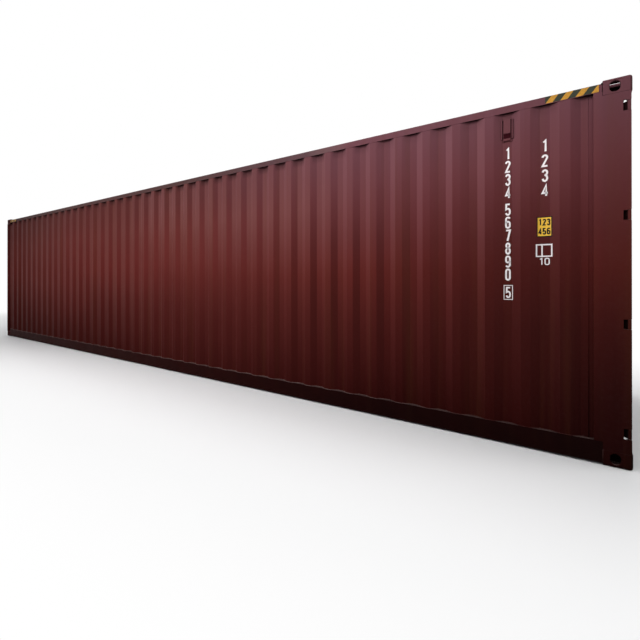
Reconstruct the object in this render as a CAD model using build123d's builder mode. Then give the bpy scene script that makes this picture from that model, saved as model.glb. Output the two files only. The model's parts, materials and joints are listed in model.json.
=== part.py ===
"""Dry freight shipping container, 40 ft high-cube: steel frame, corrugated walls, two hinged doors.

Millimetres. The origin is at the bottom centre, +X points to the door end, -Y is the left side
and +Z is up. Pieces of the left side are modelled first and mirrored to the right side.
"""

import os
from math import atan, degrees, radians, tan

from build123d import *

# Overall box
length = 12192.0
width = 2438.0
height = 2896.0

# Corner castings: outer size, walls and apertures
casting_length = 178.0
casting_width = 162.0
casting_height = 118.0
casting_side_wall = 15.5
casting_outer_plate = 28.5
casting_inner_wall = 11.0
casting_corner_radius = 14.0
aperture_length = 124.5
aperture_width = 63.5
aperture_from_end = 103.5
aperture_from_side = 89.5
side_hole_height = 79.5
side_hole_width = 63.5
side_hole_depth = 63.0
side_hole_chamfer = 19.0

# Side walls: pressed sheet with upright corrugations
sheet = 2.0
wall_recess = 5.0
side_pitch = 278.0
side_crest = 72.0
side_valley = 70.0
side_depth = 36.0
last_crest_from_end = 417.0
first_crest_margin = 350.0
wall_rear_lap = 266.0
wall_front_lap = 42.0

# Front wall
front_recess = 8.0
front_pitch = 250.0
front_crest = 110.0
front_valley = 104.0
front_depth = 45.6

# Side rails
rail_recess = 4.0
top_rail = 60.0
top_rail_wall = 3.0
top_rail_drop = 26.0
bottom_rail_height = 162.0
bottom_rail_bottom = 16.0
bottom_rail_wall = 4.5
bottom_rail_top_flange = 48.0
bottom_rail_bottom_flange = 30.0

# Rear corner posts and the door opening
post_plate = 6.0
post_leg = 12.0
post_edge = 7.0
rear_post_length = 234.0
rear_post_box_start = 84.0
jamb = 49.0
post_nose_length = 31.0
post_nose_width = 26.0
wall_flange = 66.0
sill_top = 165.0
header_height = 120.0

# Front corner posts
front_post_side = 40.0
front_post_face = 150.0
front_post_lap = 70.0

# Hinges
hinge_count = 4
lowest_hinge = 90.0
highest_hinge = 68.0
hinge_from_end = 19.0
hinge_from_side = 13.0
notch_height = 85.0
notch_depth = 55.0
barrel_radius = 12.0
barrel_height = 70.0
hinge_sides = 16
pin_radius = 8.0
pin_clearance = 0.08
blade_thickness = 12.0
strap_length = 110.0

# Sill and header of the door end, with pockets for the cams
end_recess = 42.0
end_depth = 130.0
end_plate = 4.5
pocket_width = 220.0
pocket_height = 105.0
pocket_clearance = 4.0

# Front sill and header
front_sill_width = 60.0
front_sill_wall = 4.0

# Underframe
cross_member_height = 122.0
cross_member_flange = 45.0
cross_member_wall = 4.0
cross_member_pitch = 300.0
first_cross_member = 290.0
bolster_width = 100.0
floor_thickness = 28.0
floor_edge = 53.0
tunnel_width = 1029.0
tunnel_length = 3190.0
tunnel_plate = 4.5

# Roof
roof_side_lap = 14.0
roof_end_flat = 200.0
roof_pitch = 209.0
roof_crest = 91.0
roof_slope = 13.5
roof_depth = 18.0
roof_rib_inset = 94.0
header_plate = 3.0
corner_plate_length = 190.0
corner_plate_width = 440.0

# Door leaves
leaf_recess = 75.0
leaf_thickness = 50.0
leaf_gap = 10.0
centre_gap = 28.0
stile_width = 100.0
stile_wall = 3.2
rail_height = 150.0
rail_wall = 3.0
door_valley = 72.0
door_slope = 68.0
door_depth = 36.0
door_valleys = 5
gasket_lip = 5.0
centre_lip = 7.0
gasket_depth = 20.0

# Locking gear
rod_from_free_edge = 276.0
rod_from_hinge_edge = 300.0
rod_radius = 17.0
rod_wall = 3.0
rod_standoff = 20.0
rod_overrun = 60.0
rod_clearance = 0.3
cam_width = 56.0
cam_height = 26.0
cam_depth = 24.0
cam_tip = 10.0
keeper_gap = 8.0
keeper_width = 26.0
keeper_tip = 14.0
keeper_height = 40.0
keeper_reach = 22.0
bracket_height = 50.0
bracket_width = 96.0
bracket_plate = 3.2
bracket_leg_angle = 70.0
handle_offset = 120.0
handle_short_of_rod = 100.0
handle_bar = 32.0
handle_thickness = 10.0
handle_hub = 6.0
handle_grip = 70.0
handle_bend = 6.0
catch_from_tip = 110.0
catch_width = 60.0
catch_reach = 26.0
catch_plate = 3.0

# Ventilators
vent_width = 94.0
vent_height = 197.0
vent_below_rail = 41.5
vent_depth = 22.0
vent_foot_width = 68.0
vent_foot_depth = 8.0
vent_slot_width = 70.0
vent_slot_height = 40.0
vent_slot_depth = 12.0
vent_slot_above_foot = 29.0

half_length = length / 2
half_width = width / 2
top_rail_top = height - top_rail_drop
roof_top = top_rail_top + sheet
wall_bottom = bottom_rail_bottom + bottom_rail_height
wall_top = top_rail_top - top_rail
casting_top = height - casting_height
header_bottom = top_rail_top - header_height
floor_bottom = bottom_rail_bottom + bottom_rail_wall + cross_member_height
floor_top = floor_bottom + floor_thickness
rail_half_length = half_length - casting_length
tunnel_end = -half_length + rail_recess + front_sill_wall + tunnel_length
leaf_outer_x = half_length - leaf_recess
leaf_inner_x = leaf_outer_x - leaf_thickness
leaf_hinge_y = -half_width + jamb + leaf_gap
leaf_free_y = -centre_gap / 2
leaf_bottom = sill_top + leaf_gap
leaf_top = header_bottom - leaf_gap
hinge_x = half_length - hinge_from_end
hinge_y = -half_width + hinge_from_side
rod_x = leaf_outer_x + rod_standoff
rod_positions = (-leaf_free_y + rod_from_free_edge, -leaf_hinge_y - rod_from_hinge_edge)
handle_length = rod_positions[1] - rod_positions[0] - handle_short_of_rod
panel_bottom = leaf_bottom + rail_height
panel_top = leaf_top - rail_height
panel_pitch = (panel_top - panel_bottom) / door_valleys
handle_height = panel_bottom + door_valleys // 2 * panel_pitch
last_crest = half_length - last_crest_from_end
side_crests = int((length - last_crest_from_end - first_crest_margin) // side_pitch) + 1
front_crests = int((width - 2 * casting_width) // front_pitch)


def rear_left(from_end, from_side):
    """Plan position from the rear plane and the left side plane."""
    return (half_length - from_end, from_side - half_width)


def front_left(from_end, from_side):
    """Plan position from the front plane and the left side plane."""
    return (from_end - half_length, from_side - half_width)


def pressed_outline(face, thickness):
    """Closed outline of a bent sheet: one face, then the other on its left, mitred at the bends."""
    points = [Vector(*point) for point in face]
    steps = [after - before for before, after in zip(points, points[1:])]
    normals = [Vector(-step.Y, step.X).normalized() for step in steps]
    back = []
    for point, before, after in zip(points, normals[:1] + normals, normals + normals[-1:]):
        mitre = before + after
        back.append(point + mitre * (2 * thickness / mitre.dot(mitre)))
    return points + back[::-1]


def span(start, end):
    """Middle and size between two values."""
    return (start + end) / 2, abs(end - start)


def spread(first, last, count):
    """Evenly spaced values from first to last."""
    return [first + index * (last - first) / (count - 1) for index in range(count)]


def block(x_range, y_range, z_range, mode=Mode.ADD):
    """Box between the given limits in the part being built."""
    (x, x_size), (y, y_size), (z, z_size) = span(*x_range), span(*y_range), span(*z_range)
    with Locations((x, y, z)):
        Box(x_size, y_size, z_size, mode=mode)


def hinge_heights():
    """Heights of the hinges' middles, evenly spaced along the leaf."""
    return spread(leaf_bottom + lowest_hinge, leaf_top - highest_hinge, hinge_count)


def write_piece(part, name):
    part.label = name
    export_step(part, f"parts/{name}.step")


def write_pair(part, stem):
    """The left piece and its mirror image on the right side."""
    write_piece(part, f"{stem}_left")
    with BuildPart() as twin:
        mirror(part, about=Plane.XZ)
    write_piece(twin.part, f"{stem}_right")


def make_casting():
    """Top casting of the rear left corner, with its three apertures."""
    x_inner = half_length - casting_length
    y_inner = -half_width + casting_width
    aperture_x = half_length - aperture_from_end
    aperture_y = -half_width + aperture_from_side
    hole_z = height - side_hole_depth
    with BuildPart() as casting:
        block((x_inner, half_length), (-half_width, y_inner), (casting_top, height))
        corner = casting.edges().filter_by(Axis.Z).sort_by(Axis.Y)[:2].sort_by(Axis.X)[-1]
        fillet(corner, casting_corner_radius)
        block(
            (x_inner + casting_inner_wall, half_length - casting_side_wall),
            (-half_width + casting_side_wall, y_inner - casting_inner_wall),
            (casting_top + casting_inner_wall, height - casting_outer_plate),
            mode=Mode.SUBTRACT,
        )
        with BuildSketch(Plane.XY.offset(height)):
            with Locations((aperture_x, aperture_y)):
                SlotOverall(aperture_length, aperture_width)
        extrude(amount=-casting_outer_plate, mode=Mode.SUBTRACT)
        with BuildSketch(Plane.XZ.offset(half_width)):
            with Locations((aperture_x, hole_z)):
                hole = Rectangle(side_hole_width, side_hole_height)
            chamfer(hole.vertices(), side_hole_chamfer)
        extrude(amount=-casting_side_wall, mode=Mode.SUBTRACT)
        with BuildSketch(Plane.YZ.offset(half_length)):
            with Locations((aperture_y, hole_z)):
                hole = Rectangle(side_hole_width, side_hole_height)
            chamfer(hole.vertices(), side_hole_chamfer)
        extrude(amount=-casting_side_wall, mode=Mode.SUBTRACT)
    return casting


def write_castings():
    """Four castings at the top and four at the bottom, each a mirror image of the first."""
    with BuildPart() as top:
        add(make_casting().part)
        mirror(about=Plane.XZ)
        mirror(about=Plane.YZ)
    with BuildPart() as bottom:
        mirror(top.part, about=Plane.XY.offset(height / 2))
    write_piece(top.part, "top_castings")
    write_piece(bottom.part, "bottom_castings")


def make_rear_post():
    """Hollow door post with a nose that holds the hinge pins and a flange for the side wall."""
    tube_end = rear_post_length
    nose_end = post_edge + post_nose_length
    with BuildPart() as post:
        with BuildSketch(Plane.XY.offset(casting_height)):
            for start, end, deep in (
                (post_edge, nose_end, post_nose_width),
                (post_edge, tube_end, post_leg),
                (rear_post_box_start, tube_end, jamb),
            ):
                with Locations(rear_left((start + end) / 2, deep / 2)):
                    Rectangle(end - start, deep)
            with Locations(rear_left(tube_end + wall_flange / 2, jamb - post_plate / 2)):
                Rectangle(wall_flange, post_plate)
            hollow_start = rear_post_box_start + post_plate
            hollow_end = tube_end - post_plate
            hollow_depth = jamb - post_plate - post_leg
            with Locations(rear_left((hollow_start + hollow_end) / 2, post_leg + hollow_depth / 2)):
                Rectangle(hollow_end - hollow_start, hollow_depth, mode=Mode.SUBTRACT)
        extrude(amount=wall_top - casting_height)
        behind_casting = (rail_half_length, half_length)
        beside_casting = (rail_half_length - tube_end, rail_half_length)
        side = (-half_width - 1, -half_width + casting_width)
        block(behind_casting, side, (casting_top, wall_top), mode=Mode.SUBTRACT)
        block(beside_casting, side, (casting_height, wall_bottom), mode=Mode.SUBTRACT)
        for z in hinge_heights():
            block(
                (half_length - notch_depth, half_length),
                (-half_width - 1, -half_width + post_nose_width + 1),
                (z - notch_height / 2, z + notch_height / 2),
                mode=Mode.SUBTRACT,
            )
    return post


def make_front_post():
    """Open pressed post with a step for the side wall and one for the front wall."""
    front_flat = front_recess + front_depth + sheet
    wall_inner = wall_recess + side_depth + sheet
    face = [
        front_left(front_post_side + front_post_lap, wall_inner),
        front_left(front_post_side, wall_inner),
        front_left(front_post_side, 0),
        front_left(0, 0),
        front_left(0, front_post_face),
        front_left(front_flat, front_post_face),
        front_left(front_flat, front_post_face + front_post_lap),
    ]
    with BuildPart() as post:
        with BuildSketch(Plane.XY.offset(casting_height)):
            with BuildLine():
                Polyline(*pressed_outline(face, -post_plate), close=True)
            make_face()
        extrude(amount=wall_top - casting_height)
        casting_side = -half_width + casting_width
        lap_side = casting_side + front_post_lap
        ends = (-half_length - 1, -rail_half_length)
        block(ends, (-half_width - 1, casting_side), (casting_top, wall_top), mode=Mode.SUBTRACT)
        block(ends, (casting_side, lap_side), (casting_height, wall_bottom), mode=Mode.SUBTRACT)
    return post


def make_top_side_rail():
    with BuildPart() as rail:
        with BuildSketch(Plane.YZ.offset(-rail_half_length)):
            with Locations((-half_width + rail_recess + top_rail / 2, top_rail_top - top_rail / 2)):
                Rectangle(top_rail, top_rail)
                Rectangle(top_rail - 2 * top_rail_wall, top_rail - 2 * top_rail_wall, mode=Mode.SUBTRACT)
        extrude(amount=2 * rail_half_length)
    return rail


def make_bottom_side_rail():
    """Channel with a wide top flange, on which the wall stands, and a narrow bottom flange."""
    outer = -half_width + rail_recess
    face = [
        (outer + bottom_rail_bottom_flange, bottom_rail_bottom),
        (outer, bottom_rail_bottom),
        (outer, wall_bottom),
        (outer + bottom_rail_top_flange, wall_bottom),
    ]
    with BuildPart() as rail:
        with BuildSketch(Plane.YZ.offset(-rail_half_length)):
            with BuildLine():
                Polyline(*pressed_outline(face, -bottom_rail_wall), close=True)
            make_face()
        extrude(amount=2 * rail_half_length)
    return rail


def make_side_wall():
    """Corrugated sheet, cut away round the castings at the front end."""
    crest_y = wall_recess - half_width
    valley_y = crest_y + side_depth
    slope = (side_pitch - side_crest - side_valley) / 2
    face = [(wall_front_lap - half_length, valley_y)]
    for crest in reversed(range(side_crests)):
        centre = last_crest - crest * side_pitch
        face += [
            (centre - side_crest / 2 - slope, valley_y),
            (centre - side_crest / 2, crest_y),
            (centre + side_crest / 2, crest_y),
            (centre + side_crest / 2 + slope, valley_y),
        ]
    face += [(half_length - wall_rear_lap, valley_y)]
    with BuildPart() as wall:
        with BuildSketch(Plane.XY.offset(casting_height)):
            with BuildLine():
                Polyline(*pressed_outline(face, sheet), close=True)
            make_face()
        extrude(amount=wall_top - casting_height)
        deep = (-half_width, valley_y + 2 * sheet)
        front = (-half_length, -rail_half_length)
        block(front, deep, (casting_top, wall_top), mode=Mode.SUBTRACT)
        block((-rail_half_length, half_length), deep, (casting_height, wall_bottom), mode=Mode.SUBTRACT)
    return wall


def make_front_wall():
    crest_x = front_recess - half_length
    valley_x = crest_x + front_depth
    slope = (front_pitch - front_crest - front_valley) / 2
    edge = half_width - casting_width
    face = [(valley_x, edge)]
    for crest in range(front_crests):
        centre = (front_crests - 1) / 2 * front_pitch - crest * front_pitch
        face += [
            (valley_x, centre + front_crest / 2 + slope),
            (crest_x, centre + front_crest / 2),
            (crest_x, centre - front_crest / 2),
            (valley_x, centre - front_crest / 2 - slope),
        ]
    face += [(valley_x, -edge)]
    with BuildPart() as wall:
        with BuildSketch(Plane.XY.offset(wall_bottom)):
            with BuildLine():
                Polyline(*pressed_outline(face, sheet), close=True)
            make_face()
        extrude(amount=wall_top - wall_bottom)
    return wall


def make_front_header():
    reach = half_width - casting_width
    with BuildPart() as header:
        with BuildSketch(Plane.XZ.offset(-reach)):
            with Locations((-half_length + rail_recess + top_rail / 2, top_rail_top - top_rail / 2)):
                Rectangle(top_rail, top_rail)
                Rectangle(top_rail - 2 * top_rail_wall, top_rail - 2 * top_rail_wall, mode=Mode.SUBTRACT)
        extrude(amount=2 * reach)
    return header


def make_front_sill():
    """Channel under the front wall, cut away where a trailer's gooseneck enters."""
    reach = half_width - casting_width
    outer = -half_length + rail_recess
    face = [
        (outer + front_sill_width, bottom_rail_bottom),
        (outer, bottom_rail_bottom),
        (outer, wall_bottom),
        (outer + front_sill_width, wall_bottom),
    ]
    with BuildPart() as sill:
        with BuildSketch(Plane.XZ.offset(-reach)):
            with BuildLine():
                Polyline(*pressed_outline(face, -front_sill_wall), close=True)
            make_face()
        extrude(amount=2 * reach)
        opening = tunnel_width / 2 + tunnel_plate
        block(
            (-half_length, outer + front_sill_width + 1),
            (-opening, opening),
            (0, floor_bottom),
            mode=Mode.SUBTRACT,
        )
    return sill


def make_door_end(z_range, inner_z, pocket_z, jamb_z):
    """Box section across the door end, with four pockets that hold cams and keepers."""
    outer = half_length - end_recess
    inner = half_length - end_depth
    between_castings = half_width - casting_width
    between_posts = half_width - jamb
    pocket_x = leaf_outer_x - pocket_clearance
    with BuildPart() as section:
        block((inner, outer), (-between_castings, between_castings), z_range)
        block((inner, outer), (-between_posts, between_posts), jamb_z)
        hollow = (inner + end_plate, outer - end_plate)
        block(hollow, (-between_posts, between_posts), inner_z, mode=Mode.SUBTRACT)
        for grown, mode in ((end_plate, Mode.ADD), (0, Mode.SUBTRACT)):
            for y in [side * rod for side in (-1, 1) for rod in rod_positions]:
                half = pocket_width / 2 + grown
                low = max(pocket_z[0] - grown, z_range[0])
                high = min(pocket_z[1] + grown, z_range[1])
                block((pocket_x - grown, outer), (y - half, y + half), (low, high), mode=mode)
    return section


def make_rear_sill():
    bottom = bottom_rail_bottom
    return make_door_end(
        z_range=(bottom, sill_top),
        inner_z=(bottom - 1, sill_top - end_plate),
        pocket_z=(sill_top - pocket_height, sill_top),
        jamb_z=(casting_height, sill_top),
    )


def make_rear_header():
    return make_door_end(
        z_range=(header_bottom, top_rail_top),
        inner_z=(header_bottom + end_plate, top_rail_top - end_plate),
        pocket_z=(header_bottom, header_bottom + pocket_height),
        jamb_z=(header_bottom, casting_top),
    )


def make_roof():
    """Sheet between the castings of both ends, with pressed-up ribs across it."""
    y_half = half_width - roof_side_lap
    taper = degrees(atan(roof_slope / roof_depth))
    footprint = roof_crest + 2 * roof_slope
    rib_length = width - 2 * roof_rib_inset
    inset = 2 * sheet
    ribs = int((2 * (rail_half_length - roof_end_flat) - footprint) // roof_pitch) + 1
    with BuildPart() as roof:
        block((-rail_half_length, rail_half_length), (-y_half, y_half), (top_rail_top, roof_top))
        with BuildSketch(Plane.XY.offset(roof_top)):
            with GridLocations(roof_pitch, 0, ribs, 1):
                Rectangle(footprint, rib_length)
        extrude(amount=roof_depth, taper=taper)
        with BuildSketch(Plane.XY.offset(top_rail_top)):
            with GridLocations(roof_pitch, 0, ribs, 1):
                Rectangle(footprint - inset, rib_length - inset)
        extrude(amount=roof_depth, taper=taper, mode=Mode.SUBTRACT)
    return roof


def make_header_plates():
    """Plates between the top castings, from the roof sheet over the front and rear headers."""
    reach = half_width - casting_width
    with BuildPart() as plates:
        for way, recess in ((1, end_recess), (-1, rail_recess)):
            ends = sorted((way * rail_half_length, way * (half_length - recess)))
            block(ends, (-reach, reach), (top_rail_top, top_rail_top + header_plate))
    return plates


def make_corner_plates():
    """Plates on the roof beside the castings, against knocks from lifting gear."""
    side = half_width - roof_side_lap
    inner = rail_half_length - corner_plate_length
    across = (-side, corner_plate_width - side)
    with BuildPart() as plates:
        block((inner, rail_half_length), across, (roof_top, roof_top + header_plate))
        mirror(about=Plane.XZ)
        mirror(about=Plane.YZ)
    return plates


def make_floor():
    front = -half_length + front_recess + front_depth + sheet + post_plate + 8
    with BuildPart() as floor:
        block(
            (front, half_length - end_depth),
            (-half_width + floor_edge, half_width - floor_edge),
            (floor_bottom, floor_top),
        )
    return floor


def channel_outline(x):
    """Outline of a cross member, a channel standing on its edge, with its web at x."""
    low = floor_bottom - cross_member_height
    face = [
        (x + cross_member_flange, low),
        (x, low),
        (x, floor_bottom),
        (x + cross_member_flange, floor_bottom),
    ]
    return pressed_outline(face, -cross_member_wall)


def make_cross_members():
    reach = half_width - rail_recess - bottom_rail_wall
    first = half_length - first_cross_member
    count = int((first - tunnel_end - 2 * bolster_width) // cross_member_pitch) + 1
    with BuildPart() as members:
        with BuildSketch(Plane.XZ.offset(-reach)):
            for index in range(count):
                with BuildLine():
                    Polyline(*channel_outline(first - index * cross_member_pitch), close=True)
                make_face()
        extrude(amount=2 * reach)
    return members


def make_outriggers():
    """Short cross members from the side rails to the tunnel."""
    reach = half_width - rail_recess - bottom_rail_wall
    inner = tunnel_width / 2 + tunnel_plate
    first = -half_length + casting_length + cross_member_pitch / 2
    count = int((tunnel_end - first) // cross_member_pitch) + 1
    with BuildPart() as members:
        for end in (-inner, reach):
            with BuildSketch(Plane.XZ.offset(-end)):
                for index in range(count):
                    with BuildLine():
                        Polyline(*channel_outline(first + index * cross_member_pitch), close=True)
                    make_face()
            extrude(amount=reach - inner)
    return members


def make_tunnel():
    """Upturned channel in the underframe that takes a trailer's gooseneck."""
    half = tunnel_width / 2
    low = bottom_rail_bottom + bottom_rail_wall
    face = [
        (-half, low),
        (-half, floor_bottom - tunnel_plate),
        (half, floor_bottom - tunnel_plate),
        (half, low),
    ]
    with BuildPart() as tunnel:
        with BuildSketch(Plane.YZ.offset(tunnel_end)):
            with BuildLine():
                Polyline(*pressed_outline(face, tunnel_plate), close=True)
            make_face()
        extrude(amount=-tunnel_length)
    return tunnel


def make_tunnel_bolster():
    """Box member across the underframe at the tunnel's inner end."""
    reach = half_width - rail_recess - bottom_rail_wall
    low = floor_bottom - cross_member_height
    wall = cross_member_wall
    far = tunnel_end + bolster_width
    with BuildPart() as bolster:
        block((tunnel_end, far), (-reach, reach), (low, floor_bottom))
        hollow_x = (tunnel_end + wall, far - wall)
        block(hollow_x, (-reach, reach), (low + wall, floor_bottom - wall), mode=Mode.SUBTRACT)
    return bolster


def make_door_frame():
    """Two hollow stiles and two channel rails, joined as one welded frame."""
    height_range = (leaf_bottom, leaf_top)
    depth = (leaf_inner_x, leaf_outer_x)
    with BuildPart() as frame:
        for edge, inward in ((leaf_hinge_y, 1), (leaf_free_y, -1)):
            far = edge + inward * stile_width
            block(depth, sorted((edge, far)), height_range)
        for edge, inward in ((leaf_bottom, 1), (leaf_top, -1)):
            between = (leaf_hinge_y + stile_width, leaf_free_y - stile_width)
            far = edge + inward * rail_height
            block(depth, between, sorted((edge, far)))
            hollow = (leaf_inner_x, leaf_outer_x - rail_wall)
            pocket = sorted((edge + inward * rail_wall, far - inward * rail_wall))
            block(hollow, between, pocket, mode=Mode.SUBTRACT)
        for edge, inward in ((leaf_hinge_y, 1), (leaf_free_y, -1)):
            near = edge + inward * stile_wall
            far = edge + inward * (stile_width - stile_wall)
            hollow = (leaf_inner_x + stile_wall, leaf_outer_x - stile_wall)
            block(hollow, sorted((near, far)), height_range, mode=Mode.SUBTRACT)
    return frame


def make_door_panel():
    """Sheet with level corrugations, set in the leaf's frame."""
    left = leaf_hinge_y + stile_width
    right = leaf_free_y - stile_width
    crest_x = leaf_outer_x - rail_wall
    valley_x = crest_x - door_depth
    face = [(crest_x, panel_bottom)]
    for index in range(door_valleys):
        centre = panel_bottom + (index + 0.5) * panel_pitch
        face += [
            (crest_x, centre - door_valley / 2 - door_slope),
            (valley_x, centre - door_valley / 2),
            (valley_x, centre + door_valley / 2),
            (crest_x, centre + door_valley / 2 + door_slope),
        ]
    face += [(crest_x, panel_top)]
    with BuildPart() as panel:
        with BuildSketch(Plane.XZ.offset(-right)):
            with BuildLine():
                Polyline(*pressed_outline(face, sheet), close=True)
            make_face()
        extrude(amount=right - left)
    return panel


def make_door_gasket():
    """Rubber seal round the leaf's edge."""
    outer_x = leaf_outer_x - (leaf_thickness - gasket_depth)
    with BuildPart() as gasket:
        block(
            (outer_x - gasket_depth, outer_x),
            (leaf_hinge_y - gasket_lip, leaf_free_y + centre_lip),
            (leaf_bottom - gasket_lip, leaf_top + gasket_lip),
        )
        block(
            (outer_x - gasket_depth, outer_x),
            (leaf_hinge_y, leaf_free_y),
            (leaf_bottom, leaf_top),
            mode=Mode.SUBTRACT,
        )
    return gasket


def make_hinges():
    """Four forged blades, each with a barrel on its pin and a strap on the leaf."""
    strap_x = leaf_outer_x + blade_thickness / 2
    blade = [(hinge_x, hinge_y), (strap_x, leaf_hinge_y + 8), (strap_x, leaf_hinge_y + strap_length)]
    with BuildPart() as hinges:
        for z in hinge_heights():
            with BuildSketch(Plane.XY.offset(z - barrel_height / 2)):
                with BuildLine():
                    Polyline(*blade)
                trace(line_width=blade_thickness)
                with Locations((hinge_x, hinge_y)):
                    RegularPolygon(barrel_radius, hinge_sides)
                    RegularPolygon(pin_radius + pin_clearance, hinge_sides, False, mode=Mode.SUBTRACT)
            extrude(amount=barrel_height)
    return hinges


def make_hinge_pins():
    """Pins of both posts, each through one hinge."""
    with BuildPart() as pins:
        for z in hinge_heights():
            with BuildSketch(Plane.XY.offset(z - notch_height / 2)):
                with Locations((hinge_x, hinge_y)):
                    RegularPolygon(pin_radius, hinge_sides)
            extrude(amount=notch_height)
        mirror(about=Plane.XZ)
    return pins


def make_lock_rods():
    """Two tubes with a two-winged cam at each end."""
    low = leaf_bottom - rod_overrun
    high = leaf_top + rod_overrun
    wing = cam_width / 2
    cam = [
        (-cam_tip / 2, -wing),
        (cam_tip / 2, -wing),
        (cam_depth / 2, 0),
        (cam_tip / 2, wing),
        (-cam_tip / 2, wing),
        (-cam_depth / 2, 0),
    ]
    with BuildPart() as rods:
        spots = [(rod_x, -y) for y in rod_positions]
        with BuildSketch(Plane.XY.offset(low)):
            with Locations(*spots):
                Circle(rod_radius)
        extrude(amount=high - low)
        for end in (low, high - cam_height):
            with BuildSketch(Plane.XY.offset(end)):
                with Locations(*spots):
                    Polygon(*cam, align=None)
            extrude(amount=cam_height)
        with BuildSketch(Plane.XY.offset(low)):
            with Locations(*spots):
                Circle(rod_radius - rod_wall)
        extrude(amount=high - low, mode=Mode.SUBTRACT)
    return rods


def make_rod_brackets():
    """Bent straps that hold the rods, two on the leaf's rails and two on crests of its panel."""
    inner = rod_radius + rod_clearance
    half = bracket_width / 2
    rail_heights = (leaf_bottom + rail_height / 2, leaf_top - rail_height / 2)
    panel_heights = (panel_bottom + panel_pitch, panel_top - panel_pitch)
    with BuildPart() as brackets:
        for base_x, heights in ((leaf_outer_x, rail_heights), (leaf_outer_x - rail_wall, panel_heights)):
            leg_angle = radians(bracket_leg_angle)
            bend = inner * tan(leg_angle / 2)
            foot = bend + (rod_x + inner - base_x) / tan(leg_angle)
            for z in heights:
                with BuildSketch(Plane.XY.offset(z - bracket_height / 2)):
                    for y in rod_positions:
                        face = [
                            (base_x, -y - half),
                            (base_x, -y - foot),
                            (rod_x + inner, -y - bend),
                            (rod_x + inner, -y + bend),
                            (base_x, -y + foot),
                            (base_x, -y + half),
                        ]
                        with BuildLine():
                            Polyline(*pressed_outline(face, -bracket_plate), close=True)
                        make_face()
                extrude(amount=bracket_height)
    return brackets


def handle_layout():
    """Place of each rod's handle: the rod's side position, the way it points and its height."""
    low = handle_height - handle_offset / 2
    return ((-rod_positions[0], -1, low), (-rod_positions[1], 1, low + handle_offset))


def make_door_handles():
    """A bent lever on each rod, the two of a leaf pointing to each other, one above the other."""
    bore = rod_radius + rod_clearance
    hub = rod_radius + handle_hub
    flat_side_out = 22.5
    near = rod_x - handle_thickness / 2
    with BuildPart() as handles:
        for y, way, z in handle_layout():
            with BuildSketch(Plane.XY.offset(z - handle_bar / 2)):
                face = [
                    (near, y + way * (rod_radius + 1)),
                    (near, y + way * (handle_length - handle_grip)),
                    (near + handle_bend, y + way * handle_length),
                ]
                with BuildLine():
                    Polyline(*pressed_outline(face, -way * handle_thickness), close=True)
                make_face()
                with Locations((rod_x, y)):
                    RegularPolygon(hub, 8, False, rotation=flat_side_out)
                    RegularPolygon(bore, 8, False, rotation=flat_side_out, mode=Mode.SUBTRACT)
            extrude(amount=handle_bar)
    return handles


def make_handle_catches():
    """Channels on the leaf's panel that hold the handles' free ends."""
    base_x = leaf_outer_x - rail_wall
    half = handle_bar / 2 + 1
    with BuildPart() as catches:
        for y, way, z in handle_layout():
            middle = y + way * (handle_length - catch_from_tip)
            face = [
                (base_x + catch_reach, z - half),
                (base_x + catch_plate, z - half),
                (base_x + catch_plate, z + half),
                (base_x + catch_reach, z + half),
            ]
            with BuildSketch(Plane.XZ.offset(-middle - catch_width / 2)):
                with BuildLine():
                    Polyline(*pressed_outline(face, catch_plate), close=True)
                make_face()
            extrude(amount=catch_width)
    return catches


def make_cam_keepers():
    """Pairs of tapered horns in the pockets of the sill and the header."""
    near = cam_width / 2 + keeper_gap
    base_x = leaf_outer_x - pocket_clearance
    tip_x = leaf_outer_x + keeper_reach
    with BuildPart() as keepers:
        for z in (leaf_bottom - rod_overrun, leaf_top + rod_overrun - keeper_height):
            with BuildSketch(Plane.XY.offset(z)):
                for y in [side * rod for side in (-1, 1) for rod in rod_positions]:
                    for side in (-1, 1):
                        with BuildLine():
                            Polyline(
                                (base_x, y + side * near),
                                (tip_x, y + side * near),
                                (tip_x, y + side * (near + keeper_tip)),
                                (base_x, y + side * (near + keeper_width)),
                                close=True,
                            )
                        make_face()
            extrude(amount=keeper_height)
    return keepers


def make_ventilators():
    """Covers over the air holes, in a valley at the right end of each wall seen from outside."""
    valley_y = wall_recess - half_width + side_depth
    outer_y = valley_y - vent_depth
    low = wall_top - vent_below_rail - vent_height
    slot_low = low + vent_slot_above_foot
    places = ((last_crest - 1.5 * side_pitch, 1), (last_crest - (side_crests - 2.5) * side_pitch, -1))
    with BuildPart() as vents:
        for x, side in places:
            with BuildSketch(Plane.XY.offset(low)):
                with BuildLine():
                    Polyline(
                        (x - vent_foot_width / 2, side * valley_y),
                        (x - vent_width / 2, side * (valley_y - vent_foot_depth)),
                        (x - vent_width / 2, side * outer_y),
                        (x + vent_width / 2, side * outer_y),
                        (x + vent_width / 2, side * (valley_y - vent_foot_depth)),
                        (x + vent_foot_width / 2, side * valley_y),
                        close=True,
                    )
                make_face()
            extrude(amount=vent_height)
            block(
                (x - vent_slot_width / 2, x + vent_slot_width / 2),
                (side * outer_y, side * (outer_y + vent_slot_depth)),
                (slot_low, slot_low + vent_slot_height),
                mode=Mode.SUBTRACT,
            )
    return vents


os.makedirs("parts", exist_ok=True)

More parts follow.
